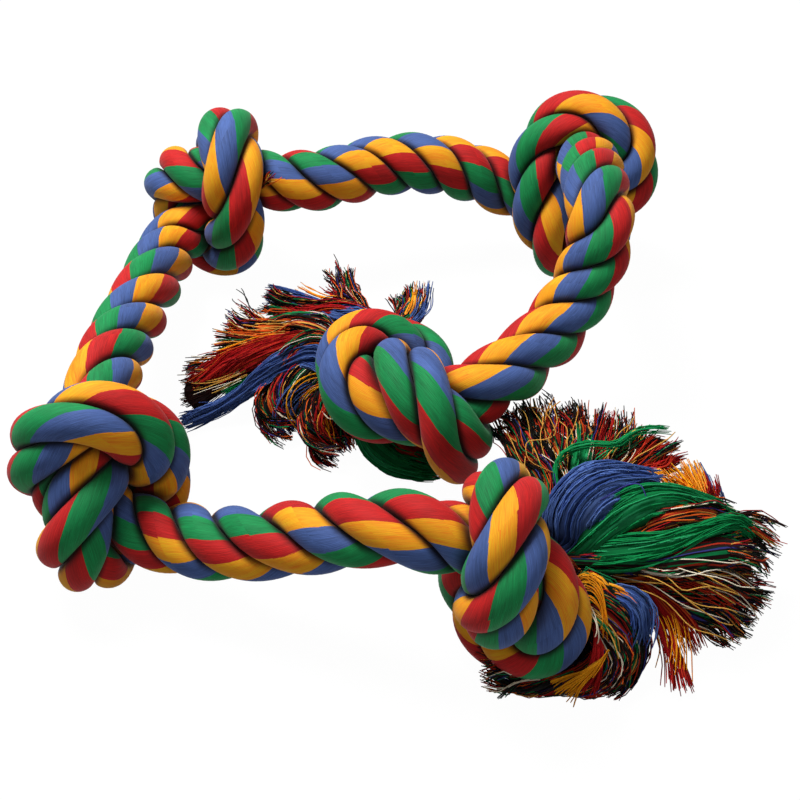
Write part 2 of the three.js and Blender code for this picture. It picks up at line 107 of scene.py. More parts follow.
# %% A smooth line through the control points, and a knot's points where it lies
def spline(control):
    """Points along a uniform cubic B-spline, from its first control point to its last."""
    c = np.vstack([2 * control[0] - control[1], control, 2 * control[-1] - control[-2]])
    k = np.arange((len(control) - 1) * STEPS + 1)
    i = np.minimum(k // STEPS, len(control) - 2)
    t = (k / STEPS - i)[:, None]
    weights = ((1 - t) ** 3, 3 * t**3 - 6 * t * t + 4, -3 * t**3 + 3 * t * t + 3 * t + 1, t**3)
    return sum(w * c[i + j] for j, w in enumerate(weights)) / 6


def knot_points(place, lift, heading, pitch, roll, size_share):
    """An overhand knot's control points, turned, and stood so that its foot is on the table."""
    other = HALF_KNOT[:0:-1] * (-1, 1, -1)
    turn = np.array(Matrix.Rotation(math.radians(heading), 3, "Z")
                    @ Matrix.Rotation(math.radians(-pitch), 3, "Y")
                    @ Matrix.Rotation(math.radians(roll), 3, "X"))
    points = np.vstack([other, HALF_KNOT]) @ turn.T * (ROPE * size_share)
    lowest = spline(points * SOLID_SPREAD)[:, 2].min()
    height = ROPE * size_share * SOLID_SPREAD * PASS_SHARE / 2 - lowest - FOOT_CUT + lift * MM
    return points + (place[0] * MM, place[1] * MM, height)


def lengths_along(points):
    """How far along a line each of its points is."""
    return np.concatenate([[0], np.cumsum(np.linalg.norm(np.diff(points, axis=0), axis=1))])


control = []
for *pose, lead, left_out in KNOTS.values():
    points = knot_points(*pose)
    control += [np.array(p) * MM for p in lead]
    control += list(points[left_out[0]:len(points) - left_out[1]])
control += [np.array(p) * MM for p in ROUTE_END]
route = spline(np.array(control) - TABLE_CENTRE)
print(f"rope {lengths_along(route)[-1]:.3f} m between the frayed ends")

# %% [markdown]
# ## Three strands round the route
# The rope is right-handed laid: its strands climb like the thread of a screw, one turn in two
# to three diameters. Sweeping a twisted profile would do for a plain rope, but in a knot the
# passes press into each other, so each strand is a line of its own here that can give way. A
# normal carried along the line without twist keeps the count of turns true through every bend.

# %% The rope's middle line, and directions that go along with it
RING_STEP = 1.2 * MM
STRAND_RADIUS = 0.264 * ROPE
STRAND_OFFSET = 0.244 * ROPE


def resampled(points, step):
    """The same line in even steps, and how far along it each point is."""
    lengths = lengths_along(points)
    at = np.linspace(0, lengths[-1], int(round(lengths[-1] / step)) + 1)
    return np.stack([np.interp(at, lengths, points[:, k]) for k in range(3)], 1), at


def unit(v):
    return v / np.maximum(np.linalg.norm(v, axis=-1, keepdims=True), 1e-12)


def carried_frame(points, first=(0, 0, 1)):
    """Directions along a line, a normal that never twists about it, and the third axis."""
    along = unit(np.gradient(points, axis=0))
    normal = unit(np.array(first) - along[0] * (np.array(first) @ along[0]))
    normals = [normal]
    for a, b in zip(along[:-1], along[1:]):
        v = np.cross(a, b)
        normal = normal + np.cross(v, normal) + np.cross(v, np.cross(v, normal)) / (1 + a @ b)
        normal = unit(normal - b * (normal @ b))
        normals.append(normal)
    normals = np.array(normals)
    return along, normals, np.cross(along, normals)


centre, along_rope = resampled(route, RING_STEP)
rope_length = along_rope[-1]
_, normal, across = carried_frame(centre)
print(len(centre), "points along the rope")

# %% [markdown]
# ## How the strands are laid
# Tying a knot turns the rope under the hand, so its lay is tight in one place and loose in the
# next, and an even twist would put every groove in the wrong place. So the grooves between the
# strands are read along the rope wherever they show. From one groove to the next is a third of
# a turn as the camera sees it, and between the visible parts the rope has its usual lay. The
# colours that face the camera say how far a strand's yarns have crept round it, because a
# strand is itself a twist of yarns, and its twist changes with the lay.

# %% Grooves and colours along the rope
# For each part that shows: where the grooves between two strands cross the rope's middle line,
# in mm from the first frayed end, and the colour that faces the camera half way between them,
# counted 0-1 blue, 1-2 green, 2-3 red, 3-4 yellow, and on from 4 in the same order
GROOVES = [
    ((47, 71.5, 96, 120), (1.56, 1.8, 1.5)),
    ((163, 192, 226, 256), (0.5, 3.1, 3.7)),
    ((258, 280, 302, 330, 352.5, 373, 389, 410), (5.2, 4.1, 4.55, 4.0, 5.0, 5.38, 4.68)),
    ((583, 606, 631, 657, 686.5, 707), (3.25, 1.85, 2.45, 4.55, 4.7)),
    ((781.5, 800, 819, 839.5, 859, 876.5, 895), (1.55, 3.0, 2.35, 2.95, 4.33, 3.95)),
    ((925, 941.5), (1.6,)),
    ((1040, 1067, 1097), (2.25, 4.5)),
    ((1153, 1173, 1199, 1236, 1274.5, 1304, 1328), (2.55, 3.2, 4.5, 3.35, 4.22, 6.03)),
    ((1362, 1386, 1411), (3.1, 1.56)),
    ((1495, 1523, 1555.5), (4.6, 4.3)),
    ((1607, 1629, 1650, 1672.5, 1701, 1722, 1749, 1771), (1.0, 3.0, 2.15, 2.3, 4.35, 3.3, 3.55)),
    ((1800, 1828), (4.5,)),
    ((1943, 1967, 1988), (3.38, 1.9)),
]
FREE_LAY = 64 * MM  # one turn of the strands where nothing shows
print(sum(len(colours) for _, colours in GROOVES), "colours read between the grooves")

# %% Turns of the strands from end to end
to_camera = unit(np.array(camera.location) - centre)
facing = np.unwrap(np.arctan2((to_camera * across).sum(1), (to_camera * normal).sum(1)))
facing /= 2 * math.pi
first_turn = math.atan2(across[0, 2], normal[0, 2]) / (2 * math.pi)
places, laid = [0.0], [0.0]
for grooves, colours in GROOVES:
    at = np.array(grooves) * MM
    seen = np.interp(at, along_rope, facing) - first_turn - 1 / 6 + np.arange(len(at)) / 3
    even = laid[-1] + (at[0] - places[-1]) / FREE_LAY
    places += list(at)
    laid += list(seen + round((even - seen[0]) * 3) / 3)
places.append(rope_length)
laid.append(laid[-1] + (rope_length - places[-2]) / FREE_LAY)


def eased(values, reach):
    """Values along the rope, averaged over a length of rope."""
    half = int(reach / RING_STEP)
    weights = np.hanning(2 * half + 3)[1:-1]
    padded = np.pad(values, half, mode="reflect", reflect_type="odd")
    return np.convolve(padded, weights / weights.sum(), "valid")


laid_turns = eased(np.interp(along_rope, places, laid), 16 * MM)
print(f"{laid_turns[-1]:.1f} turns, one in {rope_length / laid_turns[-1] / MM:.0f} mm on average")

# %% The three strands' centre lines
strands = []
for s in range(3):
    angle = 2 * math.pi * (first_turn + laid_turns + s / 3)[:, None]
    strands.append(centre + STRAND_OFFSET * (np.cos(angle) * normal + np.sin(angle) * across))
strands = np.array(strands)
print("strands", strands.shape)

# %% How far each strand's colours have crept round it
YARN_TWIST = 2.25  # a strand's yarns turn back this many times as fast as the strands are laid
creeps = [[], [], []]
for grooves, colours in GROOVES:
    for begin, end, colour_read in zip(grooves, grooves[1:], colours):
        at = (begin + end) / 2 * MM
        turned = np.interp(at, along_rope, laid_turns)
        s = round(3 * (np.interp(at, along_rope, facing) - first_turn - turned)) % 3
        crept = YARN_TWIST * turned - colour_read / 4
        before = creeps[s][-1][1] if creeps[s] else 0.5
        creeps[s].append((at, crept - round(crept - before)))
colour_start = [YARN_TWIST * laid_turns - eased(np.interp(along_rope, *np.transpose(c)), 30 * MM)
                for c in creeps]
print("colours read on each strand:", [len(c) for c in creeps])

# %% [markdown]
# ## Passes that press together
# A pulled knot squeezes the rope: where two passes cross, their strands shift aside and
# flatten. The strands are first pushed apart as soft springs would push them, and each move
# is shared out along the strand, so that no strand kinks.

# %% Neighbours, and moves shared along a strand
SQUEEZE = 0.74  # two strands of different passes come this much nearer than their diameters
SAME_PASS = 1.45 * ROPE  # points nearer along the rope than this belong to one pass


def smoothed(values, rounds):
    """Values along the strands, each shared with its neighbours."""
    for _ in range(rounds):
        padded = np.pad(values, ((0, 0), (1, 1), (0, 0)), mode="edge")
        values = (padded[:, :-2] + 2 * values + padded[:, 2:]) / 4
    return values


def near_pairs(points, others, reach, chunk=400):
    """Index pairs of points and others that are nearer than reach."""
    first, second = [], []
    for k in range(0, len(points), chunk):
        part = points[k:k + chunk]
        d2 = ((part**2).sum(1)[:, None] + (others**2).sum(1)[None] - 2 * part @ others.T)
        i, j = np.nonzero(d2 < reach * reach)
        first.append(i + k)
        second.append(j)
    return np.concatenate(first), np.concatenate(second)


# %% Push the strands of different passes apart
ROUNDS = 48
NEIGHBOURS_EVERY = 8  # rounds after which the neighbours are looked up again
LOWEST = 0.72 * STRAND_RADIUS  # for a strand's middle, over the table
EAGER = 1.5  # a push moves a strand this much further than it asks for
KEPT = 0.985  # the share of its move that a strand keeps in each round
coarse = slice(None, None, 2)
moved = strands[:, coarse].copy()
coarse_along = np.tile(along_rope[coarse], 3)
rest = moved.copy()
for round_number in range(ROUNDS):
    flat = moved.reshape(-1, 3)
    if round_number % NEIGHBOURS_EVERY == 0:
        i, j = near_pairs(flat, flat, STRAND_RADIUS * 2.6)
        apart = np.abs(coarse_along[i] - coarse_along[j]) > SAME_PASS
        i, j = i[apart], j[apart]
    gap = flat[i] - flat[j]
    distance = np.linalg.norm(gap, axis=1)
    need = np.maximum(2 * STRAND_RADIUS * SQUEEZE - distance, 0)
    push = np.zeros_like(flat)
    weight = np.zeros(len(flat))
    np.add.at(push, i, gap / np.maximum(distance, 1e-6)[:, None] * (need / 2)[:, None])
    np.add.at(weight, i, need > 0)
    push /= np.maximum(weight, 1)[:, None]
    moved = moved + smoothed(push.reshape(moved.shape), 3) * EAGER
    moved = rest + smoothed(moved - rest, 2) * KEPT
    moved[..., 2] = np.maximum(moved[..., 2], LOWEST)
shift = smoothed(moved - rest, 4)
for s in range(3):
    for k in range(3):
        strands[s, :, k] += np.interp(along_rope, along_rope[coarse], shift[s, :, k])
print(f"strands moved up to {np.linalg.norm(shift, axis=2).max() / MM:.1f} mm")

# %% Cut the strands where their yarns open
# They open where they leave the knots, a little before the solid model's mouths
TRIM = (10 * MM, 20 * MM)
kept = slice(round(TRIM[0] / RING_STEP), len(centre) - round(TRIM[1] / RING_STEP))
centre, along_rope, strands = centre[kept], along_rope[kept], strands[:, kept]
colour_start = [c[kept] for c in colour_start]
print(len(centre), "rings on each strand")

# %% [markdown]
# ## Strand surfaces
# Three round tubes would leave gaps between them, or run through each other. Real strands are
# soft and meet in flat faces, half way between their middles. So each ring of a strand starts
# as a circle, and in every direction it stops short at the plane that lies half way to the
# nearest strand, and at the table. How near a point is to that plane also says how deep in a
# groove it lies, where hardly any light comes, so that is kept for the material.

# %% Spokes of the rings
SIDES = 40
flat_strands = strands.reshape(-1, 3)
strand_ways = unit(np.gradient(strands, axis=1))
from_middle = strands - centre
outward = unit(from_middle - strand_ways * (from_middle * strand_ways).sum(-1)[..., None])
sideways = np.cross(strand_ways, outward)
ring_angles = 2 * np.pi * np.arange(SIDES) / SIDES
spokes = (np.cos(ring_angles)[None, :, None] * outward.reshape(-1, 1, 3)
          + np.sin(ring_angles)[None, :, None] * sideways.reshape(-1, 1, 3))
print("spokes", spokes.shape)

# %% How far each spoke reaches before it meets another strand
CONTACT_GAP = 0.12 * MM
CHUNK = 60000
number = np.repeat(np.arange(3), len(centre))
lengths_of = np.tile(along_rope, 3)
i, j = near_pairs(flat_strands, flat_strands, STRAND_RADIUS * 2.5)
other = (number[i] != number[j]) | (np.abs(lengths_of[i] - lengths_of[j]) > SAME_PASS)
i, j = i[other], j[other]
limit = np.full((len(flat_strands), SIDES), 10 * STRAND_RADIUS)
for k in range(0, len(i), CHUNK):
    a, b = i[k:k + CHUNK], j[k:k + CHUNK]
    gap = flat_strands[b] - flat_strands[a]
    toward = np.einsum("psx,px->ps", spokes[a], gap)
    reach = np.where(toward > 1e-6, (gap**2).sum(1)[:, None] / (2 * np.maximum(toward, 1e-6)), 1)
    starts = np.concatenate([[0], np.nonzero(np.diff(a))[0] + 1])
    least = np.minimum.reduceat(reach, starts, axis=0)
    limit[a[starts]] = np.minimum(limit[a[starts]], least)
limit -= CONTACT_GAP
print(f"{(limit < STRAND_RADIUS).mean():.0%} of the spokes stop at another strand")

# %% Rings of the strands, pressed flat where they meet
PRESS = 9.0  # how suddenly a round side turns into a flat one
ROUNDED_END = 9 * MM
down = np.maximum(-spokes[..., 2], 1e-3)
table_limit = np.where(spokes[..., 2] < -1e-3, flat_strands[:, None, 2] / down, 1)
radii = (STRAND_RADIUS**-PRESS + limit**-PRESS) ** (-1 / PRESS)
radii = np.minimum(radii, table_limit)
to_plane = radii / np.maximum(limit, 1e-5)  # 1 where the side touches another strand
crevice = np.clip((to_plane - 0.62) / 0.3, 0, 1)
from_end = np.minimum(lengths_of - along_rope[0], along_rope[-1] - lengths_of) / ROUNDED_END
radii *= np.sqrt(1 - (1 - np.clip(from_end, 0.01, 1)) ** 2)[:, None]
rings = flat_strands[:, None] + spokes * radii[..., None]
rings[..., 2] = np.maximum(rings[..., 2], 0)
rings = rings.reshape(3, len(centre), SIDES, 3)
crevice = crevice.reshape(3, len(centre), SIDES)
print(f"rings {rings.shape}, radii {radii.min() / MM:.1f} to {radii.max() / MM:.1f} mm")

# %% [markdown]
# The rings become one mesh with a UV map made for the yarns: across, it counts turns round
# the strand from a yarn that keeps its place in the twist, and along, it counts the strand's
# length in the same unit. Whatever the shader draws along the second axis follows the yarns.
# A second map carries the depth in the grooves.


# %% A mesh from arrays
def new_mesh(name, vertices, faces, uvs=None):
    """A mesh object from arrays: vertices, faces with one number of corners, yarn UVs."""
    mesh = bpy.data.meshes.new(name)
    corners = faces.shape[1]
    mesh.vertices.add(len(vertices))
    mesh.vertices.foreach_set("co", np.asarray(vertices, np.float32).ravel())
    mesh.loops.add(faces.size)
    mesh.loops.foreach_set("vertex_index", faces.astype(np.int32).ravel())
    mesh.polygons.add(len(faces))
    mesh.polygons.foreach_set("loop_start", np.arange(0, faces.size, corners, dtype=np.int32))
    mesh.update(calc_edges=True)
    if uvs is not None:
        new_uvs(mesh, "yarns", uvs)
    mesh.polygons.foreach_set("use_smooth", np.ones(len(faces), bool))
    mesh.validate()
    obj = bpy.data.objects.new(name, mesh)
    bpy.context.scene.collection.objects.link(obj)
    return obj


def new_uvs(mesh, name, uvs):
    """A UV map with one point for each corner of each face."""
    mesh.uv_layers.new(name=name).data.foreach_set("uv", np.asarray(uvs, np.float32).ravel())


print("strand rings to join:", 3 * len(centre))

# %% The rope's mesh
UNIT_LENGTH = 2 * math.pi * STRAND_RADIUS
ring_count = len(centre)
side_number = np.arange(SIDES)
ring_number = np.arange(ring_count - 1)[:, None]


def at_corners(value):
    """A value of ring and side at the four corners of every face."""
    r, k = ring_number, side_number
    return np.stack([value(r, k), value(r, k + 1), value(r + 1, k + 1), value(r + 1, k)], -1)


vertices, faces, uvs, depths = [], [], [], []
for s in range(3):
    strand_length = lengths_along(strands[s])
    quads = at_corners(lambda ring, side: (s * ring_count + ring) * SIDES + side % SIDES)
    u = at_corners(lambda ring, side: side / SIDES + colour_start[s][ring])
    v = at_corners(lambda ring, side: strand_length[ring] / UNIT_LENGTH + 0 * side)
    deep = at_corners(lambda ring, side: crevice[s][ring, side % SIDES])
    vertices.append(rings[s].reshape(-1, 3))
    faces.append(quads.reshape(-1, 4))
    uvs.append(np.stack([u, v], -1).reshape(-1, 4, 2))
    depths.append(np.stack([deep, 0 * deep], -1).reshape(-1, 4, 2))
rope = new_mesh("laid_rope", np.concatenate(vertices), np.concatenate(faces), np.concatenate(uvs))
new_uvs(rope.data, "crevice", np.concatenate(depths))
print("rope mesh:", len(rope.data.polygons), "faces")

# %% What the rope stands for
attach(rope, "root")
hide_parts(*[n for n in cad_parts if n.startswith(("knot_", "stretch_"))])

# %% [markdown]
# ## Cotton yarn
# The rope is dyed cotton yarn, about 0.7 mm thick, and each yarn is spun from finer fibres. A
# picture of yarn could be laid on the strands, but it would repeat and would have to be
# fitted to every bend. Lines and noise that read the yarn UV run with the twist by
# themselves. These helpers make one node each and join it up, so a finish reads like a list.


# %% Colours and groups
def linear(colour):
    """A colour written as rrggbb in screen values, as the shader's linear values."""
    parts = [int(colour[k:k + 2], 16) / 255 for k in (0, 2, 4)]
    return tuple(p / 12.92 if p <= 0.04045 else ((p + 0.055) / 1.055) ** 2.4 for p in parts) + (1,)


def new_group(name, inputs, outputs):
    group = bpy.data.node_groups.new(name, "ShaderNodeTree")
    for socket, kind, default in inputs:
        item = group.interface.new_socket(name=socket, in_out="INPUT",
                                          socket_type="NodeSocket" + kind)
        if default is not None:
            item.default_value = default
    for socket, kind in outputs:
        group.interface.new_socket(name=socket, in_out="OUTPUT", socket_type="NodeSocket" + kind)
    return group, group.nodes.new("NodeGroupInput"), group.nodes.new("NodeGroupOutput")


print("blue as the shader sees it:", [round(v, 3) for v in linear("465F9A")])


# %% Numbers in a shader
def maths(tree, operation, a, b=None, c=None):
    """A Math node with sockets or plain numbers as its inputs, and its result socket."""
    node = tree.nodes.new("ShaderNodeMath")
    node.operation = operation
    for k, value in enumerate((a, b, c)):
        if value is None:
            continue
        if isinstance(value, (int, float)):
            node.inputs[k].default_value = value
        else:
            tree.links.new(value, node.inputs[k])
    return node.outputs[0]


def centred(tree, value):
    """A value between 0 and 1, moved so that its middle is 0."""
    return maths(tree, "SUBTRACT", value, 0.5)


def axes(tree, vector):
    """The vector's three numbers."""
    node = tree.nodes.new("ShaderNodeSeparateXYZ")
    tree.links.new(vector, node.inputs[0])
    return node.outputs


print("helpers: maths, centred, axes")


# %% Chance in a shader
def random_for(tree, value):
    """A random number that is the same wherever the value is the same."""
    node = tree.nodes.new("ShaderNodeTexWhiteNoise")
    node.noise_dimensions = "1D"
    tree.links.new(value, node.inputs["W"])
    return node.outputs["Value"]


def noise(tree, vector, stretch, detail=2.0, roughness=0.5):
    """Noise that is finer along an axis the larger its stretch is."""
    mapping = tree.nodes.new("ShaderNodeMapping")
    mapping.inputs["Scale"].default_value = stretch
    tree.links.new(vector, mapping.inputs["Vector"])
    node = tree.nodes.new("ShaderNodeTexNoise")
    node.inputs["Scale"].default_value = 1.0
    node.inputs["Detail"].default_value = detail
    node.inputs["Roughness"].default_value = roughness
    tree.links.new(mapping.outputs[0], node.inputs["Vector"])
    return node.outputs[0]


print("helpers: random_for, noise")

# %% [markdown]
# ## Lines between the yarns
# On the real strand the yarns lie side by side with thin grooves between them, where shade
# falls, and they waver a little. The turns round the strand times the number of yarns say which
# yarn a point is on, and where across it. From that come a rounded height, the groove, which the
# strand material darkens as painted shade, and a tone for each yarn. It is a group, so that the
# pattern has a name and two numbers to set.

# %% Yarn lines
line_group, lines_in, lines_out = new_group(
    "yarn_lines",
    [("Yarns UV", "Vector", None), ("Yarns per turn", "Float", 56.0), ("Waver", "Float", 0.35)],
    [("Height", "Float"), ("Groove", "Float"), ("Yarn tone", "Float")])
yarns_uv = lines_in.outputs["Yarns UV"]
wander = centred(line_group, noise(line_group, yarns_uv, (9, 3, 1), 3))
wander = maths(line_group, "MULTIPLY", wander, lines_in.outputs["Waver"])
count = maths(line_group, "MULTIPLY_ADD", axes(line_group, yarns_uv)[0],
              lines_in.outputs["Yarns per turn"], maths(line_group, "MULTIPLY", wander, 6.0))
edge_to_edge = maths(line_group, "MULTIPLY_ADD", maths(line_group, "FRACT", count), 2.0, -1.0)
from_yarn = maths(line_group, "ABSOLUTE", edge_to_edge)
hump = maths(line_group, "SUBTRACT", 1.0, maths(line_group, "POWER", from_yarn, 2.4))
groove = maths(line_group, "POWER", from_yarn, 5.0)
yarn_tone = random_for(line_group, maths(line_group, "FLOOR", count))
for result, name in ((hump, "Height"), (groove, "Groove"), (yarn_tone, "Yarn tone")):
    line_group.links.new(result, lines_out.inputs[name])
print("yarn lines:", len(line_group.nodes), "nodes")

# %% [markdown]
# ## Fibres
# Cotton fibres run along the yarn, and the dye takes a little unevenly. Drawing single fibres
# would take more tubes than the rest of the toy, so both are noise that is stretched along
# the yarn: fine streaks for the fibres, and coarse patches for the dye.

# %% Cotton fibres
fibre_group, fibres_in, fibres_out = new_group(
    "cotton_fibres", [("Yarns UV", "Vector", None), ("Fineness", "Float", 1.0)],
    [("Streaks", "Float"), ("Patches", "Float")])
scaled = fibre_group.nodes.new("ShaderNodeVectorMath")
scaled.operation = "SCALE"
fibre_group.links.new(fibres_in.outputs["Yarns UV"], scaled.inputs[0])
fibre_group.links.new(fibres_in.outputs["Fineness"], scaled.inputs["Scale"])
streaks = noise(fibre_group, scaled.outputs[0], (150, 9, 1), 4, 0.65)
patches = noise(fibre_group, scaled.outputs[0], (7, 2.2, 1), 2)
fibre_group.links.new(streaks, fibres_out.inputs["Streaks"])
fibre_group.links.new(patches, fibres_out.inputs["Patches"])
print("groups:", [g.name for g in bpy.data.node_groups])

# %% [markdown]
# ## A finish for cotton
# Cotton is matt, with a trace of sheen where its fibres catch the light. Every finish of the
# toy starts from the same shader, takes its colours from a ramp in clean steps, because each
# yarn is dyed in one colour, and then mixes in lighter and darker places.


# %% A matt cotton shader
def new_material(name, roughness, sheen, specular):
    """A matt material, and its tree, its shader and the yarn UV."""
    material = bpy.data.materials.new(name)
    material.use_nodes = True
    tree = material.node_tree
    shader = tree.nodes["Principled BSDF"]
    shader.inputs["Roughness"].default_value = roughness
    shader.inputs["Sheen Weight"].default_value = sheen
    shader.inputs["Sheen Roughness"].default_value = 0.45
    shader.inputs["Specular IOR Level"].default_value = specular
    return material, tree, shader, uv_map(tree, "yarns")


def uv_map(tree, name):
    node = tree.nodes.new("ShaderNodeUVMap")
    node.uv_map = name
    return node.outputs[0]


def group_node(tree, group, vector, **values):
    node = tree.nodes.new("ShaderNodeGroup")
    node.node_tree = group
    tree.links.new(vector, node.inputs["Yarns UV"])
    for key, value in values.items():
        node.inputs[key.replace("_", " ")].default_value = value
    return node.outputs


print(len(bpy.data.node_groups), "groups to use in the finishes")


# %% Colour steps and mixes
TONE_SHARE = 0.6  # how much of the lighter and darker places shows


def colour_steps(tree, fac, colours, places=None):
    """A constant colour ramp: each colour holds from its place to the next."""
    ramp = tree.nodes.new("ShaderNodeValToRGB")
    ramp.color_ramp.interpolation = "CONSTANT"
    places = places or [k / len(colours) for k in range(len(colours))]
    elements = ramp.color_ramp.elements
    while len(elements) < len(colours):
        elements.new(1.0)
    for element, colour, at in zip(elements, colours, places):
        element.position = at
        element.color = linear(colour)
    tree.links.new(fac, ramp.inputs[0])
    return ramp.outputs[0]


def blend(tree, kind, factor, a, b):
    """A colour mix of a and b, which are sockets or colours."""
    node = tree.nodes.new("ShaderNodeMix")
    node.data_type = "RGBA"
    node.blend_type = kind
    if isinstance(factor, (int, float)):
        node.inputs[0].default_value = factor
    else:
        tree.links.new(factor, node.inputs[0])
    for value, socket in ((a, node.inputs[6]), (b, node.inputs[7])):
        if isinstance(value, tuple):
            socket.default_value = value
        else:
            tree.links.new(value, socket)
    return node.outputs[2]


def toned(tree, colour, tone, dark, light):
    """The colour made darker and lighter, as the tone says, between two greys."""
    grey = blend(tree, "MIX", tone, (dark, dark, dark, 1), (light, light, light, 1))
    return blend(tree, "OVERLAY", TONE_SHARE, colour, grey)


print("helpers: colour_steps, blend, toned")

# %% [markdown]
# ## The four-coloured strands
# Each strand is wrapped in blue, green, red and yellow yarn, a quarter of the way round each.
# Four meshes could carry the colours, but on the real strand they lie in one round surface.
# So a ramp over the turns of the yarn UV places them, and the fibres blur their edges. The
# depth map darkens the grooves between the strands, where the lamps leave too much light.

# %% The four-colour strand material
BLUE, GREEN, RED, YELLOW = "465F9A", "0C8446", "C01A1A", "FAA61A"
strand_material, tree, shader, yarn_uv = new_material("four_colour_cotton", 0.72, 0.06, 0.25)
line = group_node(tree, line_group, yarn_uv, Yarns_per_turn=72.0, Waver=0.5)
fibre = group_node(tree, fibre_group, yarn_uv)
streaks, patches = centred(tree, fibre["Streaks"]), centred(tree, fibre["Patches"])
edge = maths(tree, "ADD", maths(tree, "MULTIPLY", streaks, 0.02),
             maths(tree, "MULTIPLY", patches, 0.06))
band = maths(tree, "FRACT", maths(tree, "ADD", axes(tree, yarn_uv)[0], edge))
tone = maths(tree, "MULTIPLY_ADD", streaks, 1.7, 0.5)
tone = maths(tree, "MULTIPLY_ADD", patches, 0.7, tone)
tone = maths(tree, "MULTIPLY_ADD", centred(tree, line["Yarn tone"]), 0.2, tone)
colour = toned(tree, colour_steps(tree, band, [BLUE, GREEN, RED, YELLOW]), tone, 0.05, 0.95)
# Painted shade: the thin grooves between the yarns are darkened
yarn_groove_shade = maths(tree, "MULTIPLY", line["Groove"], 0.3)
colour = blend(tree, "MULTIPLY", yarn_groove_shade, colour, (0.25, 0.2, 0.2, 1))
between_strands = maths(tree, "POWER", axes(tree, uv_map(tree, "crevice"))[0], 1.5)
colour = blend(tree, "MULTIPLY", between_strands, colour, (0.12, 0.08, 0.08, 1))
tree.links.new(colour, shader.inputs["Base Color"])
print("strand colours:", len(tree.nodes), "nodes")

# %% Relief of the yarns and fibres
bump = tree.nodes.new("ShaderNodeBump")
bump.inputs["Strength"].default_value = 0.5
bump.inputs["Distance"].default_value = 0.3 * MM
yarn_height = maths(tree, "MULTIPLY", line["Height"], 0.25)
height = maths(tree, "MULTIPLY_ADD", fibre["Streaks"], 0.5, yarn_height)
tree.links.new(height, bump.inputs["Height"])
tree.links.new(bump.outputs[0], shader.inputs["Normal"])
rope.data.materials.append(strand_material)
print("rope material:", [m.name for m in rope.data.materials])

# %% [markdown]
# ## The frayed ends
# At each end the strands are opened out. The coloured wraps come off as sleek locks of
# parallel yarns, and the core, spun from mixed remnants, falls out as a speckled brush. Hair
# particles could do it, but single tubes give real meshes and each yarn its own
# colour. A lock is a line in space with a width: its yarns leave the strand at their colour's
# place, spread over the lock, and wander a little in clumps. The lines are placed over
# the photograph, each point with its height over the table, so the camera gives its place.
#
# Each lock is written as how many yarns it has, its thickness in mm, and the points that it
# passes, as x and y in the photograph, height over the table in mm and half width in mm. A
# number after them says how often the lock turns. A last number, from 0 to 1, gives all its
# yarns one colour of the mixed yarn. Those are loose threads and tufts that start in the open
# at their first point, and fewer than 20 of them lie one by one.

# %% [markdown]
# ## The centre tassel, strand a
# This strand points left. Its red and blue wraps are long sleek locks that bend down to the
# table, with a little green and yellow between them. The core behind them is a dark brush.

# %% Strand a of the centre tassel
LOCKS = {}
LOCKS["fray_1_centre", "a"] = {
    "blue": [
        (140, 3, [(338, 366, 33, 5), (316, 355, 33, 5.5), (286, 362, 28, 5.5), (262, 377, 20, 4),
                  (240, 395, 12, 3), (214, 410, 6, 2.5), (181, 424, 3, 2.5)]),
        (60, 2, [(338, 368, 28, 4), (318, 363, 26, 5), (300, 374, 18, 5), (292, 383, 12, 4)]),
        (20, 1, [(300, 364, 30, 3), (255, 388, 17, 2), (228, 404, 8, 2), (192, 412, 4, 2)]),
    ],
    "green": [
        (80, 2, [(336, 375, 26, 4), (300, 371, 20, 4), (266, 378, 15, 4), (242, 391, 10, 4),
                 (224, 400, 6, 4)]),
        (30, 1.5, [(340, 372, 30, 4), (326, 367, 30, 4), (314, 374, 26, 3)]),
    ],
    "red": [
        (210, 5, [(338, 354, 30, 5), (312, 345, 31, 6), (281, 348, 28, 6), (252, 356, 23, 6),
                  (229, 366, 16, 5.5), (208, 378, 9, 4.5), (190, 388, 5, 4)], 0.5),
        (16, 2, [(335, 358, 26, 4), (285, 344, 24, 4), (250, 352, 18, 4), (212, 361, 10, 4),
                 (184, 368, 6, 5)]),
    ],
    "yellow": [
        (50, 2, [(338, 362, 28, 3), (300, 344, 24, 4), (262, 344, 21, 3), (238, 353, 17, 3),
                 (214, 364, 10, 4)]),
        (20, 2, [(300, 350, 28, 3), (240, 368, 15, 3), (212, 380, 9, 4), (192, 390, 6, 5)]),
    ],
    "core": [
        (240, 4, [(345, 350, 24, 5), (320, 331, 26, 8), (295, 327, 24, 8), (268, 336, 18, 9),
                  (246, 337, 12, 12), (228, 334, 8, 15)]),
        (190, 4, [(335, 365, 20, 4), (290, 360, 16, 6), (245, 372, 11, 7), (212, 376, 8, 8),
                  (186, 380, 5, 10)]),
        (60, 3, [(225, 380, 12, 4), (205, 390, 8, 6), (182, 398, 5, 8)], 0, 0.42),
        (12, 3, [(245, 366, 20, 5), (215, 380, 12, 6), (186, 384, 8, 8)], 0, 0.9),
        (8, 3, [(240, 372, 18, 5), (210, 384, 10, 6), (184, 392, 6, 8)], 0, 0.95),
        (26, 3, [(290, 330, 28, 6), (262, 334, 22, 8), (240, 336, 14, 10),
                 (226, 334, 10, 12)], 0, 0.66),
        (14, 3, [(285, 332, 28, 6), (260, 336, 22, 8), (240, 340, 14, 10),
                 (228, 342, 10, 12)], 0, 0.9),
        (40, 1.5, [(338, 352, 36, 3), (315, 342, 37, 4), (296, 350, 34, 4), (281, 363, 28, 3)]),
        (3, 1, [(300, 335, 28, 2), (265, 328, 22, 1), (250, 308, 17, 2),
                (239, 290, 14, 2)], 0, 0.1),
    ],
}
print(sum(part[0] for parts in LOCKS["fray_1_centre", "a"].values() for part in parts), "yarns")

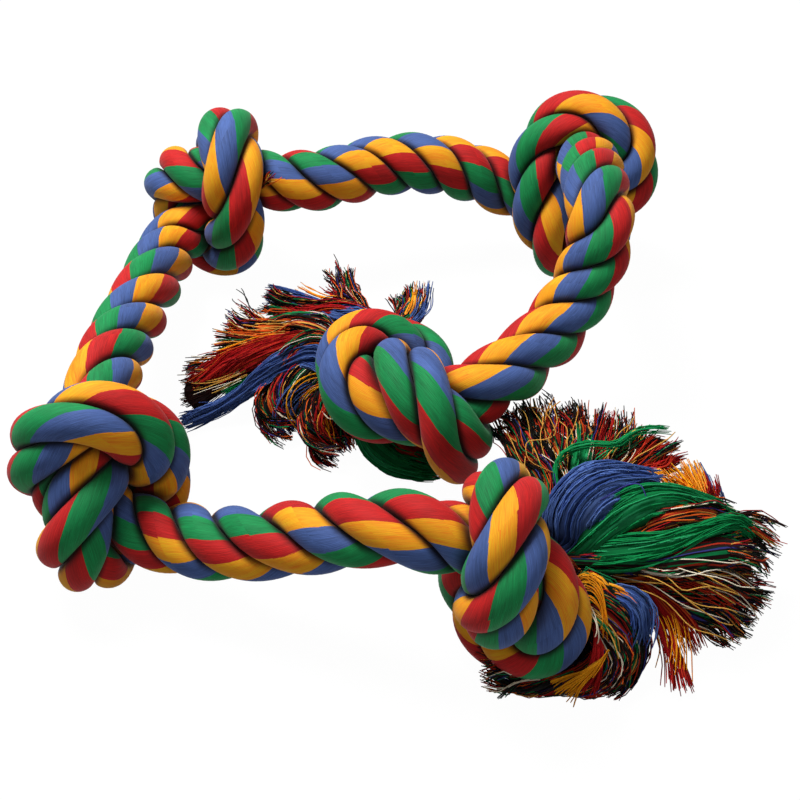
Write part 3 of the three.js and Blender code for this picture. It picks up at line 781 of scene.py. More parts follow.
# %% [markdown]
# ## The centre tassel, strand b
# This strand falls to the front. Green and red lie side by side and curve to the right, and
# the core hangs in two thick twisted hooks that curl back at the table.

# %% Strand b of the centre tassel
LOCKS["fray_1_centre", "b"] = {
    "blue": [
        (30, 2, [(338, 382, 24, 4), (308, 387, 24, 5), (289, 402, 18, 5), (285, 420, 10, 5),
                 (294, 434, 4, 4)]),
    ],
    "green": [
        (190, 4, [(362, 400, 24, 6), (368, 425, 20, 7), (376, 443, 13, 7.5), (394, 459, 7, 7),
                  (418, 468, 4, 6),
                  (440, 470, 4, 4)]),
    ],
    "red": [
        (150, 4, [(380, 400, 22, 6), (393, 430, 15, 7), (405, 448, 10, 7), (424, 458, 6, 6),
                  (446, 464, 5, 4)]),
        (16, 2, [(346, 388, 26, 3), (330, 402, 26, 6), (322, 425, 17, 6), (334, 450, 7, 5)]),
    ],
    "yellow": [
        (6, 2, [(338, 380, 28, 3), (310, 381, 29, 5), (292, 397, 22, 5), (292, 415, 13, 5),
                (302, 428, 6, 4)]),
        (7, 2, [(348, 388, 27, 3), (335, 398, 28, 4), (321, 420, 19, 6), (326, 446, 8, 5)]),
    ],
    "core": [
        (250, 6, [(338, 378, 24, 6), (308, 380, 24, 8), (285, 393, 18, 8.5), (276, 411, 11, 8),
                  (283, 428, 5, 7), (294, 436, 3, 5)], 1.1),
        (250, 6, [(347, 390, 22, 6), (331, 402, 22, 8), (320, 424, 14, 9), (327, 446, 6, 8),
                  (342, 458, 3, 5)], 0.9),
        (160, 4, [(356, 400, 18, 6), (357, 426, 12, 8), (362, 446, 5, 8)], 0.4),
        (150, 4, [(340, 372, 20, 6), (310, 382, 14, 9), (295, 400, 8, 9),
                  (305, 418, 4, 8)], 0, 0.1),
        (24, 6, [(338, 378, 24, 7), (308, 380, 25, 8.5), (285, 393, 19, 9), (276, 411, 12, 8.5),
                 (283, 427, 6, 7)], 1.1, 0.1),
        (24, 6, [(347, 390, 22, 7), (331, 402, 23, 8.5), (320, 424, 15, 9.5),
                 (327, 444, 7, 8)], 0.9, 0.1),
        (1, 1, [(320, 413, 25, 1), (326, 421, 24, 1), (334, 428, 20, 1)], 0, 0.95),
    ],
}
print(sum(part[0] for parts in LOCKS["fray_1_centre", "b"].values() for part in parts), "yarns")

# %% [markdown]
# ## The centre tassel, strand c
# This strand lies furthest back, half under the knot. Its wraps are thinner and part in two
# directions: most lie to the left, and some yellow and blue stand up to the right.

# %% Strand c of the centre tassel
LOCKS["fray_1_centre", "c"] = {
    "blue": [
        (100, 2, [(374, 345, 30, 4), (362, 318, 33, 5), (340, 316, 28, 5), (305, 304, 18, 4),
                  (282, 298, 14, 4), (266, 297, 12, 5)]),
        (26, 1.5, [(386, 350, 32, 3), (410, 325, 38, 3), (424, 305, 34, 3), (427, 289, 30, 3)]),
    ],
    "green": [
        (90, 2.5, [(372, 350, 24, 4), (350, 329, 24, 5), (320, 322, 20, 6), (292, 318, 15, 5),
                   (271, 314, 10, 5)]),
    ],
    "red": [
        (30, 2, [(366, 335, 28, 4), (355, 309, 28, 4), (343, 298, 24, 3), (331, 284, 18, 3)]),
        (26, 1.5, [(372, 342, 33, 3), (366, 316, 34, 3), (335, 308, 30, 3), (300, 313, 23, 3),
                   (278, 305, 15, 4)]),
    ],
    "yellow": [
        (30, 2, [(368, 338, 28, 3), (350, 311, 26, 4), (325, 304, 20, 4), (308, 298, 16, 4),
                 (296, 292, 13, 4)]),
        (60, 2, [(385, 350, 32, 4), (402, 325, 38, 4), (413, 305, 35, 5), (415, 291, 30, 6)]),
    ],
    "core": [
        (200, 4, [(372, 345, 28, 5), (366, 321, 28, 6), (345, 311, 26, 6), (318, 313, 22, 6),
                  (293, 309, 17, 6), (274, 301, 12, 8)]),
        (150, 4, [(370, 340, 26, 4), (359, 314, 26, 5), (347, 300, 22, 5), (337, 279, 16, 6)]),
        (130, 3, [(385, 352, 30, 5), (400, 328, 36, 6), (412, 310, 32, 7), (414, 298, 28, 9)]),
    ],
}
print(sum(part[0] for parts in LOCKS["fray_1_centre", "c"].values() for part in parts), "yarns")

# %% [markdown]
# ## The front tassel, strand a
# This strand points right. A broad blue bow goes over its top, a sleek green lock runs along
# it, red and yellow bend back at the tip, and the core is a wide loose brush on the table.

# %% Strand a of the front tassel
LOCKS["fray_2_front", "a"] = {
    "blue": [
        (250, 2.5, [(566, 545, 34, 9), (575, 516, 46, 13), (593, 495, 53, 13), (622, 485, 50, 9),
                    (656, 484, 43, 3)]),
    ],
    "green": [
        (190, 3, [(572, 554, 32, 6), (600, 530, 44, 7), (634, 506, 50, 7.5), (675, 499, 46, 5),
                  (706, 507, 40, 3.5), (728, 517, 34, 3)]),
    ],
    "red": [
        (90, 2, [(580, 540, 20, 4), (640, 516, 32, 6), (688, 509, 36, 6), (706, 498, 36, 5),
                 (704, 480, 36, 4)]),
        (22, 1.5, [(600, 548, 38, 4), (650, 526, 44, 5), (690, 515, 43, 6), (724, 520, 37, 5)]),
    ],
    "yellow": [
        (120, 2, [(575, 545, 28, 4), (620, 522, 33, 5), (668, 507, 36, 6), (694, 500, 37, 6),
                  (690, 488, 38, 6), (676, 471, 38, 9)]),
        (34, 1.5, [(560, 520, 38, 3), (562, 493, 46, 3), (572, 479, 50, 3), (602, 477, 46, 3)]),
    ],
    "core": [
        (200, 5, [(575, 562, 26, 6), (640, 556, 32, 10), (700, 545, 32, 11), (742, 541, 28, 11),
                  (762, 552, 20, 12)]),
        (240, 5, [(575, 565, 24, 6), (640, 566, 28, 9), (700, 566, 28, 11), (745, 570, 22, 11),
                  (766, 580, 15, 12)], 0.4),
        (240, 5, [(575, 570, 18, 6), (650, 578, 23, 9), (700, 590, 20, 10), (738, 606, 13, 10),
                  (757, 618, 9, 11)], 0.5),
        (200, 5, [(575, 574, 16, 6), (645, 588, 18, 9), (695, 606, 14, 10), (726, 622, 9, 10),
                  (742, 636, 6, 10)]),
        (240, 4, [(575, 575, 12, 6), (640, 590, 10, 12), (690, 590, 9, 14), (716, 600, 6, 12)]),
        (150, 3, [(575, 570, 14, 6), (630, 560, 16, 12), (690, 550, 20, 14), (730, 545, 18, 12)]),
        (120, 3, [(610, 548, 36, 4), (655, 526, 43, 6), (700, 517, 42, 6), (740, 526, 33, 6)]),
        (2, 1, [(690, 556, 38, 1), (706, 553, 38, 1), (728, 545, 36, 1),
                (750, 550, 32, 1)], 0, 0.95),
        (2, 1, [(684, 564, 34, 2), (722, 566, 33, 1), (744, 562, 30, 1)], 0, 0.95),
        (60, 3, [(650, 564, 40, 4), (695, 556, 42, 6), (732, 552, 38, 8), (755, 556, 30, 9)]),
        (2, 1, [(700, 584, 30, 2), (728, 592, 26, 1), (745, 605, 22, 1),
                (762, 624, 16, 1)], 0, 0.95),
        (12, 2, [(640, 545, 44, 6), (690, 556, 42, 6), (734, 562, 34, 8)], 0, 0.9),
        (14, 2, [(650, 570, 32, 6), (700, 585, 30, 6), (740, 606, 18, 8)], 0, 0.6),
        (6, 3, [(600, 564, 30, 3), (650, 562, 38, 8), (700, 566, 38, 14),
                (745, 576, 27, 16)], 0, 0.95),
        (9, 3, [(600, 568, 28, 3), (650, 572, 36, 8), (700, 586, 32, 14),
                (738, 606, 20, 16)], 0, 0.9),
    ],
}
print(sum(part[0] for parts in LOCKS["fray_2_front", "a"].values() for part in parts), "yarns")

# %% [markdown]
# ## The front tassel, strand b
# This strand lies in front. Its green wrap stretches right over the brush of the first one. Its
# core is one twisted rope of yarn that drops to the table and runs off to the left.

# %% Strand b of the front tassel
LOCKS["fray_2_front", "b"] = {
    "blue": [
        (110, 3, [(575, 600, 14, 4), (604, 600, 24, 4), (623, 598, 30, 5), (637, 608, 28, 5),
                  (642, 626, 22, 4), (640, 640, 16, 3)]),
    ],
    "green": [
        (160, 3, [(575, 562, 28, 6), (620, 555, 39, 7.5), (664, 548, 44, 6), (704, 533, 45, 3),
                  (732, 526, 41, 2.5), (745, 535, 34, 2.5)]),
    ],
    "red": [
        (48, 3, [(590, 634, 24, 2), (596, 654, 26, 3), (593, 674, 22, 3),
                 (584, 688, 15, 4)], 0, 0.2),
        (50, 2, [(600, 570, 24, 3), (640, 582, 25, 3), (662, 604, 21, 3.5), (684, 632, 13, 4),
                 (693, 652, 5, 5)]),
        (44, 2, [(600, 570, 20, 3), (648, 594, 18, 3), (664, 630, 14, 3), (674, 662, 8, 3),
                 (680, 693, 4, 5)]),
    ],
    "yellow": [
        (60, 3, [(566, 596, 24, 4), (584, 583, 32, 4), (600, 588, 33, 3), (611, 606, 27, 2),
                 (618, 634, 16, 2), (619, 655, 9, 2)]),
        (44, 3, [(594, 656, 26, 2), (585, 670, 25, 3), (573, 681, 20, 4),
                 (561, 692, 13, 5)], 0, 0.4),
        (12, 2, [(575, 585, 34, 2), (592, 592, 38, 2), (603, 612, 34, 1),
                 (606, 640, 25, 2)], 0, 0.3),
        (16, 1.5, [(570, 588, 24, 3), (605, 590, 32, 3), (624, 597, 32, 2.5), (634, 609, 28, 2)]),
        (12, 2, [(600, 575, 20, 3), (645, 590, 19, 3), (666, 616, 17, 4), (676, 648, 11, 4),
                 (672, 674, 6, 5)]),
    ],
    "core": [
        (280, 6, [(566, 598, 22, 6), (584, 590, 30, 8), (603, 600, 30, 8), (614, 628, 22, 8),
                  (614, 656, 13, 8), (597, 675, 9, 7), (548, 677, 6, 6), (482, 674, 5, 6)], 1.6),
        (30, 3, [(600, 664, 12, 5), (570, 676, 10, 5), (540, 680, 9, 4),
                 (490, 680, 7, 5)], 1.2, 0.1),
        (2, 1, [(584, 602, 36, 1), (592, 612, 36, 1), (598, 634, 34, 1),
                (594, 648, 27, 1)], 0, 0.95),
        (4, 1, [(575, 606, 30, 2), (596, 616, 33, 1.5), (612, 634, 28, 1.5),
                (620, 654, 20, 2)], 0, 0.9),
        (4, 1, [(580, 610, 30, 2), (600, 622, 32, 1), (613, 640, 26, 1),
                (618, 660, 18, 1)], 0, 0.8),
        (2, 1, [(540, 678, 14, 1), (515, 682, 12, 1), (494, 690, 10, 1),
                (480, 687, 10, 1)], 0, 0.95),
        (5, 6, [(584, 590, 31, 8), (603, 600, 31, 8), (614, 628, 23, 8), (614, 656, 14, 8),
                (597, 675, 10, 7),
                (548, 677, 7, 6), (482, 674, 6, 6)], 1.6, 0.95),
        (190, 4, [(570, 596, 18, 6), (612, 611, 24, 7), (631, 645, 14, 7), (622, 676, 6, 6),
                  (606, 692, 4, 4)], 0.8),
        # This lock's yarns are all black, as painted shade where the brush lies in deep shade left
        # of the curl
        (160, 3, [(560, 600, 14, 6), (574, 620, 12, 8), (580, 650, 8, 8),
                  (575, 670, 5, 7)], 0, 0.1),
        (190, 4, [(590, 585, 16, 8), (640, 598, 12, 10), (660, 618, 8, 9),
                  (666, 635, 5, 6)], 0, 0.1),
    ],
}
print(sum(part[0] for parts in LOCKS["fray_2_front", "b"].values() for part in parts), "yarns")

# %% [markdown]
# ## The front tassel, strand c
# This strand stands up behind the others. Nearly all of it is core, in a fan of dark brushes,
# with red, green and yellow yarns between them and one thin green lock bowed over the top.

# %% Strand c of the front tassel
LOCKS["fray_2_front", "c"] = {
    "blue": [
        (50, 2, [(575, 545, 26, 4), (640, 525, 30, 5), (690, 512, 32, 5), (703, 500, 33, 4),
                 (692, 467, 34, 4)]),
        (30, 1.5, [(600, 540, 26, 4), (690, 522, 30, 4), (717, 510, 31, 3), (713, 485, 32, 3)]),
        (40, 2, [(565, 530, 34, 3), (570, 490, 38, 3), (576, 465, 40, 3), (577, 441, 36, 2)]),
    ],
    "green": [
        (60, 2, [(566, 530, 34, 3), (575, 490, 40, 4), (582, 463, 41, 5), (586, 438, 37, 7)]),
        (16, 1, [(560, 520, 36, 2), (555, 482, 44, 1), (560, 458, 48, 1), (585, 447, 49, 1.5),
                 (615, 445, 46, 2), (640, 433, 42, 2), (669, 430, 36, 3)]),
        (20, 2, [(580, 500, 34, 4), (600, 464, 38, 4), (625, 448, 38, 3), (640, 438, 37, 3)]),
    ],
    "red": [
        (70, 4, [(568, 530, 28, 5), (592, 490, 34, 7), (608, 454, 34, 9), (618, 424, 28, 9)]),
        (60, 3, [(572, 530, 28, 4), (620, 486, 33, 6), (656, 463, 31, 6), (678, 456, 26, 6)]),
    ],
    "yellow": [
        (20, 3, [(568, 530, 30, 4), (600, 485, 35, 6), (628, 448, 35, 7), (638, 428, 31, 7)]),
        (34, 2, [(600, 520, 30, 4), (640, 484, 36, 4), (660, 476, 39, 4), (671, 490, 37, 3)]),
    ],
    "core": [
        (260, 5, [(556, 540, 30, 6), (553, 490, 36, 8), (534, 455, 34, 10), (513, 424, 26, 12)]),
        (240, 5, [(560, 535, 30, 6), (562, 490, 36, 8), (556, 446, 34, 11),
                  (549, 408, 26, 12)], 0.3),
        (200, 5, [(560, 535, 28, 6), (572, 490, 34, 8), (580, 450, 32, 10), (584, 424, 24, 10)]),
        (200, 5, [(568, 530, 28, 5), (592, 490, 34, 7), (610, 455, 34, 9),
                  (622, 424, 28, 10)], 0.3),
        (210, 4, [(570, 530, 28, 5), (602, 490, 32, 8), (636, 464, 30, 10), (664, 453, 24, 9)]),
        (1, 1, [(552, 474, 46, 1), (527, 460, 46, 1), (526, 444, 46, 1), (545, 438, 46, 1),
                (552, 425, 45, 1),
                (544, 412, 44, 1), (521, 407, 42, 1), (504, 410, 40, 1)], 0, 0.91),
        (2, 1, [(545, 450, 42, 2), (546, 420, 42, 1), (560, 398, 38, 2)], 0, 0.91),
        (40, 3, [(556, 500, 38, 6), (546, 455, 38, 10), (534, 420, 30, 14)], 0, 0.6),
        (9, 3, [(556, 500, 40, 6), (550, 455, 40, 12), (542, 412, 30, 20)], 0, 0.9),
        (7, 3, [(600, 490, 40, 6), (626, 455, 38, 10), (650, 436, 32, 12)], 0, 0.9),
        (14, 3, [(556, 500, 39, 6), (550, 455, 39, 12), (542, 412, 30, 20)], 0, 0.1),
        (14, 3, [(600, 490, 39, 6), (626, 455, 38, 10), (650, 436, 32, 12)], 0, 0.1),
        (30, 3, [(600, 490, 38, 6), (622, 455, 38, 8), (640, 432, 32, 10)], 0, 0.66),
        (40, 3, [(610, 490, 36, 6), (646, 466, 36, 7), (668, 454, 30, 8)], 0, 0.6),
        (2, 1, [(570, 500, 44, 1), (564, 470, 44, 1), (550, 455, 42, 2)], 0, 0.95),
        (2, 1, [(590, 460, 44, 2), (592, 440, 44, 1), (586, 428, 42, 1)], 0, 0.95),
        (2, 1, [(620, 470, 44, 2), (634, 452, 42, 1), (640, 441, 40, 1)], 0, 0.95),
        (1, 1, [(600, 500, 56, 1), (638, 484, 58, 1), (642, 496, 55, 1),
                (648, 509, 52, 1)], 0, 0.98),
    ],
}
print(sum(part[0] for parts in LOCKS["fray_2_front", "c"].values() for part in parts), "yarns")

# %% [markdown]
# ## From the photograph to a lock
# A real lock is a curved bundle with a middle line and a width. Its line could be modelled in
# space, but it shows best in the photograph, so each mark is a pixel and a height, and the
# camera turns them into a point. A smooth curve through the marks, with the half width as a
# fourth value, is the lock. It starts inside its strand, so that no yarn begins in the open.

# %% The point that the photograph shows
PHOTO_SIDE = 800  # pixels
camera_turn = np.array(camera.rotation_euler.to_matrix())
pixels_long = PHOTO_SIDE * camera_data.lens / camera_data.sensor_width


def seen_at(x, y, height):
    """The point at a height over the table, in mm, that the photograph shows at pixel x, y."""
    middle = PHOTO_SIDE / 2
    ray = camera_turn @ ((x - middle) / pixels_long, (middle - y) / pixels_long, -1)
    start = np.array(camera.location)
    return start + ray * (height * MM - start[2]) / ray[2]


print("the photograph's middle shows the table at", seen_at(400, 400, 0).round(3))


# %% A smooth curve through a lock's marks
CURVE_POINTS = 240


def through(points, at):
    """A smooth curve through points, at shares of its length, and that length."""
    points = np.array(points)
    chords = np.linalg.norm(np.diff(points, axis=0), axis=1) ** 0.5
    chords = np.concatenate([[0], np.cumsum(chords)])
    slopes = np.gradient(points, chords, axis=0)
    fine = np.linspace(0, chords[-1], CURVE_POINTS)
    k = np.clip(np.searchsorted(chords, fine, side="right") - 1, 0, len(points) - 2)
    h = (chords[k + 1] - chords[k])[:, None]
    u = ((fine - chords[k])[:, None]) / h
    curve = ((1 + 2 * u) * (1 - u)**2 * points[k] + u * (1 - u)**2 * h * slopes[k]
             + u * u * (3 - 2 * u) * points[k + 1] + u * u * (u - 1) * h * slopes[k + 1])
    lengths = lengths_along(curve[:, :3])
    share = lengths / lengths[-1]
    columns = [np.interp(at, share, column) for column in curve.T]
    return np.stack(columns, -1), lengths[-1]


def lock_marks(strand, end, marks, loose):
    """The points that a lock passes, each with its half width, from inside its strand."""
    index = -1 if end else 0
    face, way_out = strands[strand, index], strand_ways[strand, index] * (1 if end else -1)
    inside, root_width = face - way_out * 10 * MM, 3 * MM
    start = [] if loose else [(*inside, root_width), (*face, root_width)]
    return start + [(*seen_at(x, y, height), width * MM) for x, y, height, width in marks]


first_lock = LOCKS["fray_1_centre", "a"]["blue"][0]
_, first_length = through(lock_marks(0, False, first_lock[2], False), [1])
print(f"the first blue lock is {first_length / MM:.0f} mm long from inside its strand")

# %% [markdown]
# ## Spread round the lock's line
# Where the strand ends, a wrap's yarns still lie round its edge at their colour's place. A
# few centimetres on they lie beside each other in a flat bundle, highest in the middle, or
# wind round a twisted one. Moving each yarn from the one arrangement to the other over its
# first 30 mm gives the real flare without any simulation of falling yarn.

# %% Places beside a lock's line
OPENED_OVER = 30 * MM


def spread(strand, end, band, curve, length, shares, beside, above, thick, twist):
    """Points round a lock's line: beside and above are their places in its flat section."""
    index = -1 if end else 0
    middle, width = curve[..., :3], curve[..., 3]
    along = unit(np.gradient(middle, axis=-2))
    side = unit(np.cross(along, (0, -0.45, 0.9)))  # the flat side faces up and to the front
    lift = np.cross(side, along)
    opened = np.clip(shares * length / OPENED_OVER, 0, 1)
    if twist:
        turned = 2 * np.pi * twist * shares
        beside, above = (beside * np.cos(turned) - above * np.sin(turned),
                         beside * np.sin(turned) + above * np.cos(turned))
    raised = above * thick * MM + (0 if twist else (1 - beside**2) * width * 0.3)
    points = middle + side * (beside * width)[..., None] + lift * (raised * opened)[..., None]
    if band is not None:
        across_wrap = (beside.clip(-1, 1) + 1) / 2
        turn = 2 * np.pi * ((band + across_wrap) / 4 - colour_start[strand][index])[..., None]
        edge = np.cos(turn) * outward[strand, index] + np.sin(turn) * sideways[strand, index]
        points = points + edge * (STRAND_RADIUS * 0.7 * (1 - opened) ** 2)[..., None]
    return points, opened[..., None]


print(f"locks are open {OPENED_OVER / MM:.0f} mm from their start")

# %% [markdown]
# ## The yarns of one lock
# Cut cotton yarns hang together in clumps. Those of one clump share their place in the lock,
# their slow waves and the way their tips bend, and each yarn adds a small wave and a bend of
# its own. A wrap's yarns were wound side by side, so they stay sleek, while a core's lie
# looser. Every draw comes from one seeded generator, so the toy is the same each time.

# %% Clumps and waves
rng = np.random.default_rng(11)


def yarn_places(yarns, clumps, twist):
    """Which clump each yarn is in, and its place in the lock's section."""
    clump = np.repeat(np.arange(clumps), -(-yarns // clumps))[:yarns]
    clump_place = np.stack([(np.arange(clumps) + rng.uniform(0.1, 0.9, clumps)) / clumps * 2 - 1,
                            rng.uniform(-0.6, 1.1, clumps)], 1)
    place = clump_place[clump] + rng.normal(0, (1.1 / clumps, 0.15), (yarns, 2))
    if twist:
        around = rng.uniform(0, 2 * np.pi, clumps)[clump] + rng.normal(0, 0.12, yarns)
        place = np.stack([np.cos(around), np.sin(around)], 1) * rng.uniform(0.85, 1.1, (yarns, 1))
    return clump, place


def waved(count, which, waves, size, t):
    """Waves along the yarns: count of them are drawn, and which says which one a yarn takes."""
    phase = rng.uniform(0, 2 * np.pi, (count, 1, 3))[which]
    amount = rng.normal(0, size * MM, (count, 1, 3))[which]
    return amount * np.sin(2 * np.pi * waves * t + phase)


print("helpers: yarn_places, waved")

# %% Centre lines of the yarns
YARN_POINTS = 22
RAGGED = 4.2 * MM  # how much shorter than the lock its yarns are cut
LOOSE_YARNS = 20  # fewer yarns than this with a colour of their own lie one by one
TIGHT_TWIST = 0.7  # a core that turns more often than this is held together by its twist
CLUMP_WAVE, OWN_WAVE = 36 * MM, 18 * MM  # lengths of the waves
# For a wrap, a tightly twisted core and a loose core: the yarns of a clump, the size in mm of
# the clumps' waves and of single yarns' waves, and of the bends at the clumps' tips
HABITS = {"wrap": (5, 0.55, 0.16, 1.5), "twisted": (9, 0.7, 0.2, 2.6), "loose": (9, 1.3, 0.26, 2.6)}


def lock_lines(strand, end, band, yarns, thick, marks, twist=0, one_colour=None):
    """Centre lines of a lock's yarns, and a number for each that gives its colour."""
    kind = "wrap" if band is not None else "twisted" if twist > TIGHT_TWIST else "loose"
    clump_yarns, clump_size, own_size, curl = HABITS[kind]
    clumps = max(2, yarns // clump_yarns)
    if one_colour is not None and yarns < LOOSE_YARNS:
        clumps = yarns
    clump, place = yarn_places(yarns, clumps, twist)
    marks = lock_marks(strand, end, marks, one_colour)
    _, length = through(marks, [1.0])
    cut = (RAGGED if kind == "wrap" else 1.3 * RAGGED) / length
    shares = np.linspace(0, 1, YARN_POINTS)[None] * (1 - abs(rng.normal(0, cut, (yarns, 1))))
    curve, length = through(marks, shares)
    beside, above = (place[:, k:k + 1] + 0 * shares for k in (0, 1))
    threads, opened = spread(strand, end, band, curve, length, shares, beside, above, thick, twist)
    t = shares[..., None]
    threads = threads + waved(clumps, clump, length / CLUMP_WAVE, clump_size, t) * opened
    threads = threads + waved(yarns, np.arange(yarns), length / OWN_WAVE, own_size, t) * opened
    own_tips = rng.normal(0, 0.8, (yarns, 1, 3))
    tips = own_tips * MM + rng.normal(0, curl, (clumps, 1, 3))[clump] * MM
    along = unit(np.gradient(threads, axis=1))
    tips = tips - along * (tips * along).sum(-1, keepdims=True)
    tones = rng.uniform(0, 1, yarns) if one_colour is None else np.full(yarns, one_colour)
    return threads + tips * np.clip(t * 1.6 - 0.6, 0, 1) ** 2, tones


print("a yarn has", YARN_POINTS, "points")

# %% [markdown]
# ## Yarn inside a thick lock
# A real lock is full of yarn, and through the gaps between the outer yarns only the sides of
# inner ones show. Filling it would take thousands of tubes that nobody sees whole. One
# striped body inside the lock looks the same: each stripe is the side of a yarn, its surface
# is uneven, and it ends a little before the lock does.

# %% The striped body of a lock
BODY_SHARE = 0.93  # of the lock's length
BODY_RINGS = 32
STRIPES = 60


def lock_body(strand, end, band, yarns, thick, marks, twist=0, one_colour=None):
    """The yarns inside a lock as one body: its points in rings, and a tone for each stripe."""
    shares = np.linspace(0, BODY_SHARE, BODY_RINGS)[:, None] + np.zeros((1, STRIPES))
    curve, length = through(lock_marks(strand, end, marks, one_colour), shares[:, 0])
    curve = np.repeat(curve[:, None], STRIPES, axis=1).swapaxes(0, 1)
    shares = shares.T
    full = np.clip((BODY_SHARE - shares) / 0.14, 0, 1) ** 0.6 * np.clip(shares / 0.08 + 0.3, 0, 1)
    around = 2 * np.pi * np.arange(STRIPES) / STRIPES
    bumps = 1 + sum(rng.normal(0, 0.07, (STRIPES, 1))
                    * np.sin(2 * np.pi * waves * shares + rng.uniform(0, 6, (STRIPES, 1)))
                    for waves in (1.2, 2.7, 5.1))
    beside = np.cos(around)[:, None] * full * bumps * 0.95
    above = np.sin(around)[:, None] * full * bumps * 0.8
    points, _ = spread(strand, end, band, curve, length, shares, beside, above, thick, twist)
    tones = rng.uniform(0, 1, STRIPES) if one_colour is None else np.full(STRIPES, one_colour)
    return points.swapaxes(0, 1), tones


print("a body has", STRIPES, "stripes")

# %% [markdown]
# ## Yarns as tubes
# Loose yarn lies on the rope and on the table, never in them, so points inside a strand move
# out to its surface. Each yarn is then an open tube with three sides. At half a millimetre a
# rounder one looks the same and would make the mesh several times as large.

# %% Clear of the rope, and a tube round each line
YARN_RADIUS = 0.28 * MM


def clear_of_rope(threads):
    """Yarn points that would lie inside a strand move out to its surface."""
    points = threads.reshape(-1, 3).copy()
    lo, hi = points.min(0) - 10 * MM, points.max(0) + 10 * MM
    for _ in range(2):
        inside_box = np.all((flat_strands > lo) & (flat_strands < hi), axis=1)
        near = flat_strands[inside_box][::2]
        i, j = near_pairs(points, near, STRAND_RADIUS + YARN_RADIUS)
        gap = points[i] - near[j]
        distance = np.linalg.norm(gap, axis=1)
        order = np.argsort(-distance, kind="stable")
        i, gap, distance = i[order], gap[order], distance[order]
        too_near = (STRAND_RADIUS + YARN_RADIUS) / np.maximum(distance, 1e-5) - 1
        points[i] = points[i] + gap * too_near[:, None]
    return points.reshape(threads.shape)


def yarn_tubes(threads, tones):
    """Three-sided tubes round the lines: rings, with a colour number for every side."""
    count, points, _ = threads.shape
    threads = threads.copy()
    lowest = YARN_RADIUS * (1 + 5 * rng.uniform(0, 1, (count, 1)))
    threads[..., 2] = np.maximum(threads[..., 2], lowest)
    along = unit(np.gradient(threads, axis=1))
    side = unit(np.cross(along, (0.31, 0.17, 0.93)))[:, :, None]
    third = np.cross(along[:, :, None], side)
    taper = np.full((1, points, 1, 1), 1.0)
    taper[:, -1] = 0.75
    angle = 2 * np.pi * np.arange(3)[:, None] / 3
    round_it = np.cos(angle) * side + np.sin(angle) * third
    tube_rings = threads[:, :, None] + YARN_RADIUS * taper * round_it
    return tube_rings, np.repeat(tones[:, None], 3, axis=1)


print(f"yarn of {2 * YARN_RADIUS / MM:.2f} mm")

# %% [markdown]
# ## One mesh for each bundle
# Thousands of objects would be slow and hard to name, and on the real toy a bundle moves as
# one. So all tubes of a bundle become one mesh. Its UV map tells the material which yarn a
# face is on, and how far along the yarn it is in mm.

# %% From tubes to a mesh
def tube_faces(tube_rings, tones, hidden, pace, first):
    """Faces and UVs of open tubes: the colour number, and the mm along the yarn at a pace."""
    count, points, sides, _ = tube_rings.shape
    yarn = first + np.arange(count)[:, None, None] * points * sides
    ring, k = np.arange(points - 1)[None, :, None] * sides, np.arange(sides)[None, None]
    here, following = yarn + ring + k, yarn + ring + (k + 1) % sides
    quads = np.stack([here, following, following + sides, here + sides], -1)
    steps = np.linalg.norm(np.diff(tube_rings.mean(2), axis=1), axis=2)
    length = np.concatenate([np.zeros((count, 1)), np.cumsum(steps, axis=1)], 1)
    length = length / MM * pace + hidden
    ends = (length[:, :-1], length[:, :-1], length[:, 1:], length[:, 1:])
    v = np.stack(ends, -1)[:, :, None]
    u = np.broadcast_to(tones[:, None, :, None], (count, points - 1, sides, 4))
    return quads.reshape(-1, 4), np.stack([u, np.broadcast_to(v, u.shape)], -1).reshape(-1, 4, 2)


def lock_mesh(name, tubes):
    """One mesh from arrays of tubes: rings, colours, mm of yarn before the first ring, pace."""
    vertices, faces, uvs, first = [], [], [], 0
    for tube_rings, *rest_of_tube in tubes:
        quads, uv = tube_faces(tube_rings, *rest_of_tube, first)
        vertices.append(tube_rings.reshape(-1, 3))
        faces.append(quads)
        uvs.append(uv)
        first += len(vertices[-1])
    return new_mesh(name, np.concatenate(vertices), np.concatenate(faces), np.concatenate(uvs))


print(sum(len(locks) for locks in LOCKS.values()), "meshes to make")

# %% [markdown]
# ## Dyed yarn
# A wrap's yarns are all of one dye that took a little differently on each, and the core is
# spun from remnants, mostly dark with some red, orange, green and cream. A material for each
# yarn would be slow, so one ramp holds the colours of a lock and each yarn's number picks
# one. Deep in the tassel hardly any light arrives, so a yarn starts dark and comes out of it.

# %% Yarn materials
BURIED = 42.0  # mm of yarn over which it comes out of the tassel's dark inside


def yarn_material(name, colours, places):
    """Cotton yarn: each yarn takes one of the colours by its number."""
    material, tree, shader, uv = new_material(name, 0.85, 0.0, 0.1)
    number_of_yarn, mm_along, _ = axes(tree, uv)
    fleck = noise(tree, uv, (900, 0.6, 1), 3)
    tone = maths(tree, "MULTIPLY_ADD", random_for(tree, number_of_yarn), 0.5,
                 maths(tree, "MULTIPLY", fleck, 0.5))
    colour = colour_steps(tree, number_of_yarn, colours, places)
    colour = toned(tree, colour, tone, 0.1, 0.9)
    buried = maths(tree, "SUBTRACT", 1.0, maths(tree, "DIVIDE", mm_along, BURIED))
    buried = maths(tree, "MAXIMUM", maths(tree, "MINIMUM", buried, 1.0), 0.0)
    colour = blend(tree, "MULTIPLY", buried, colour, (0.1, 0.08, 0.1, 1))
    tree.links.new(colour, shader.inputs["Base Color"])
    return material


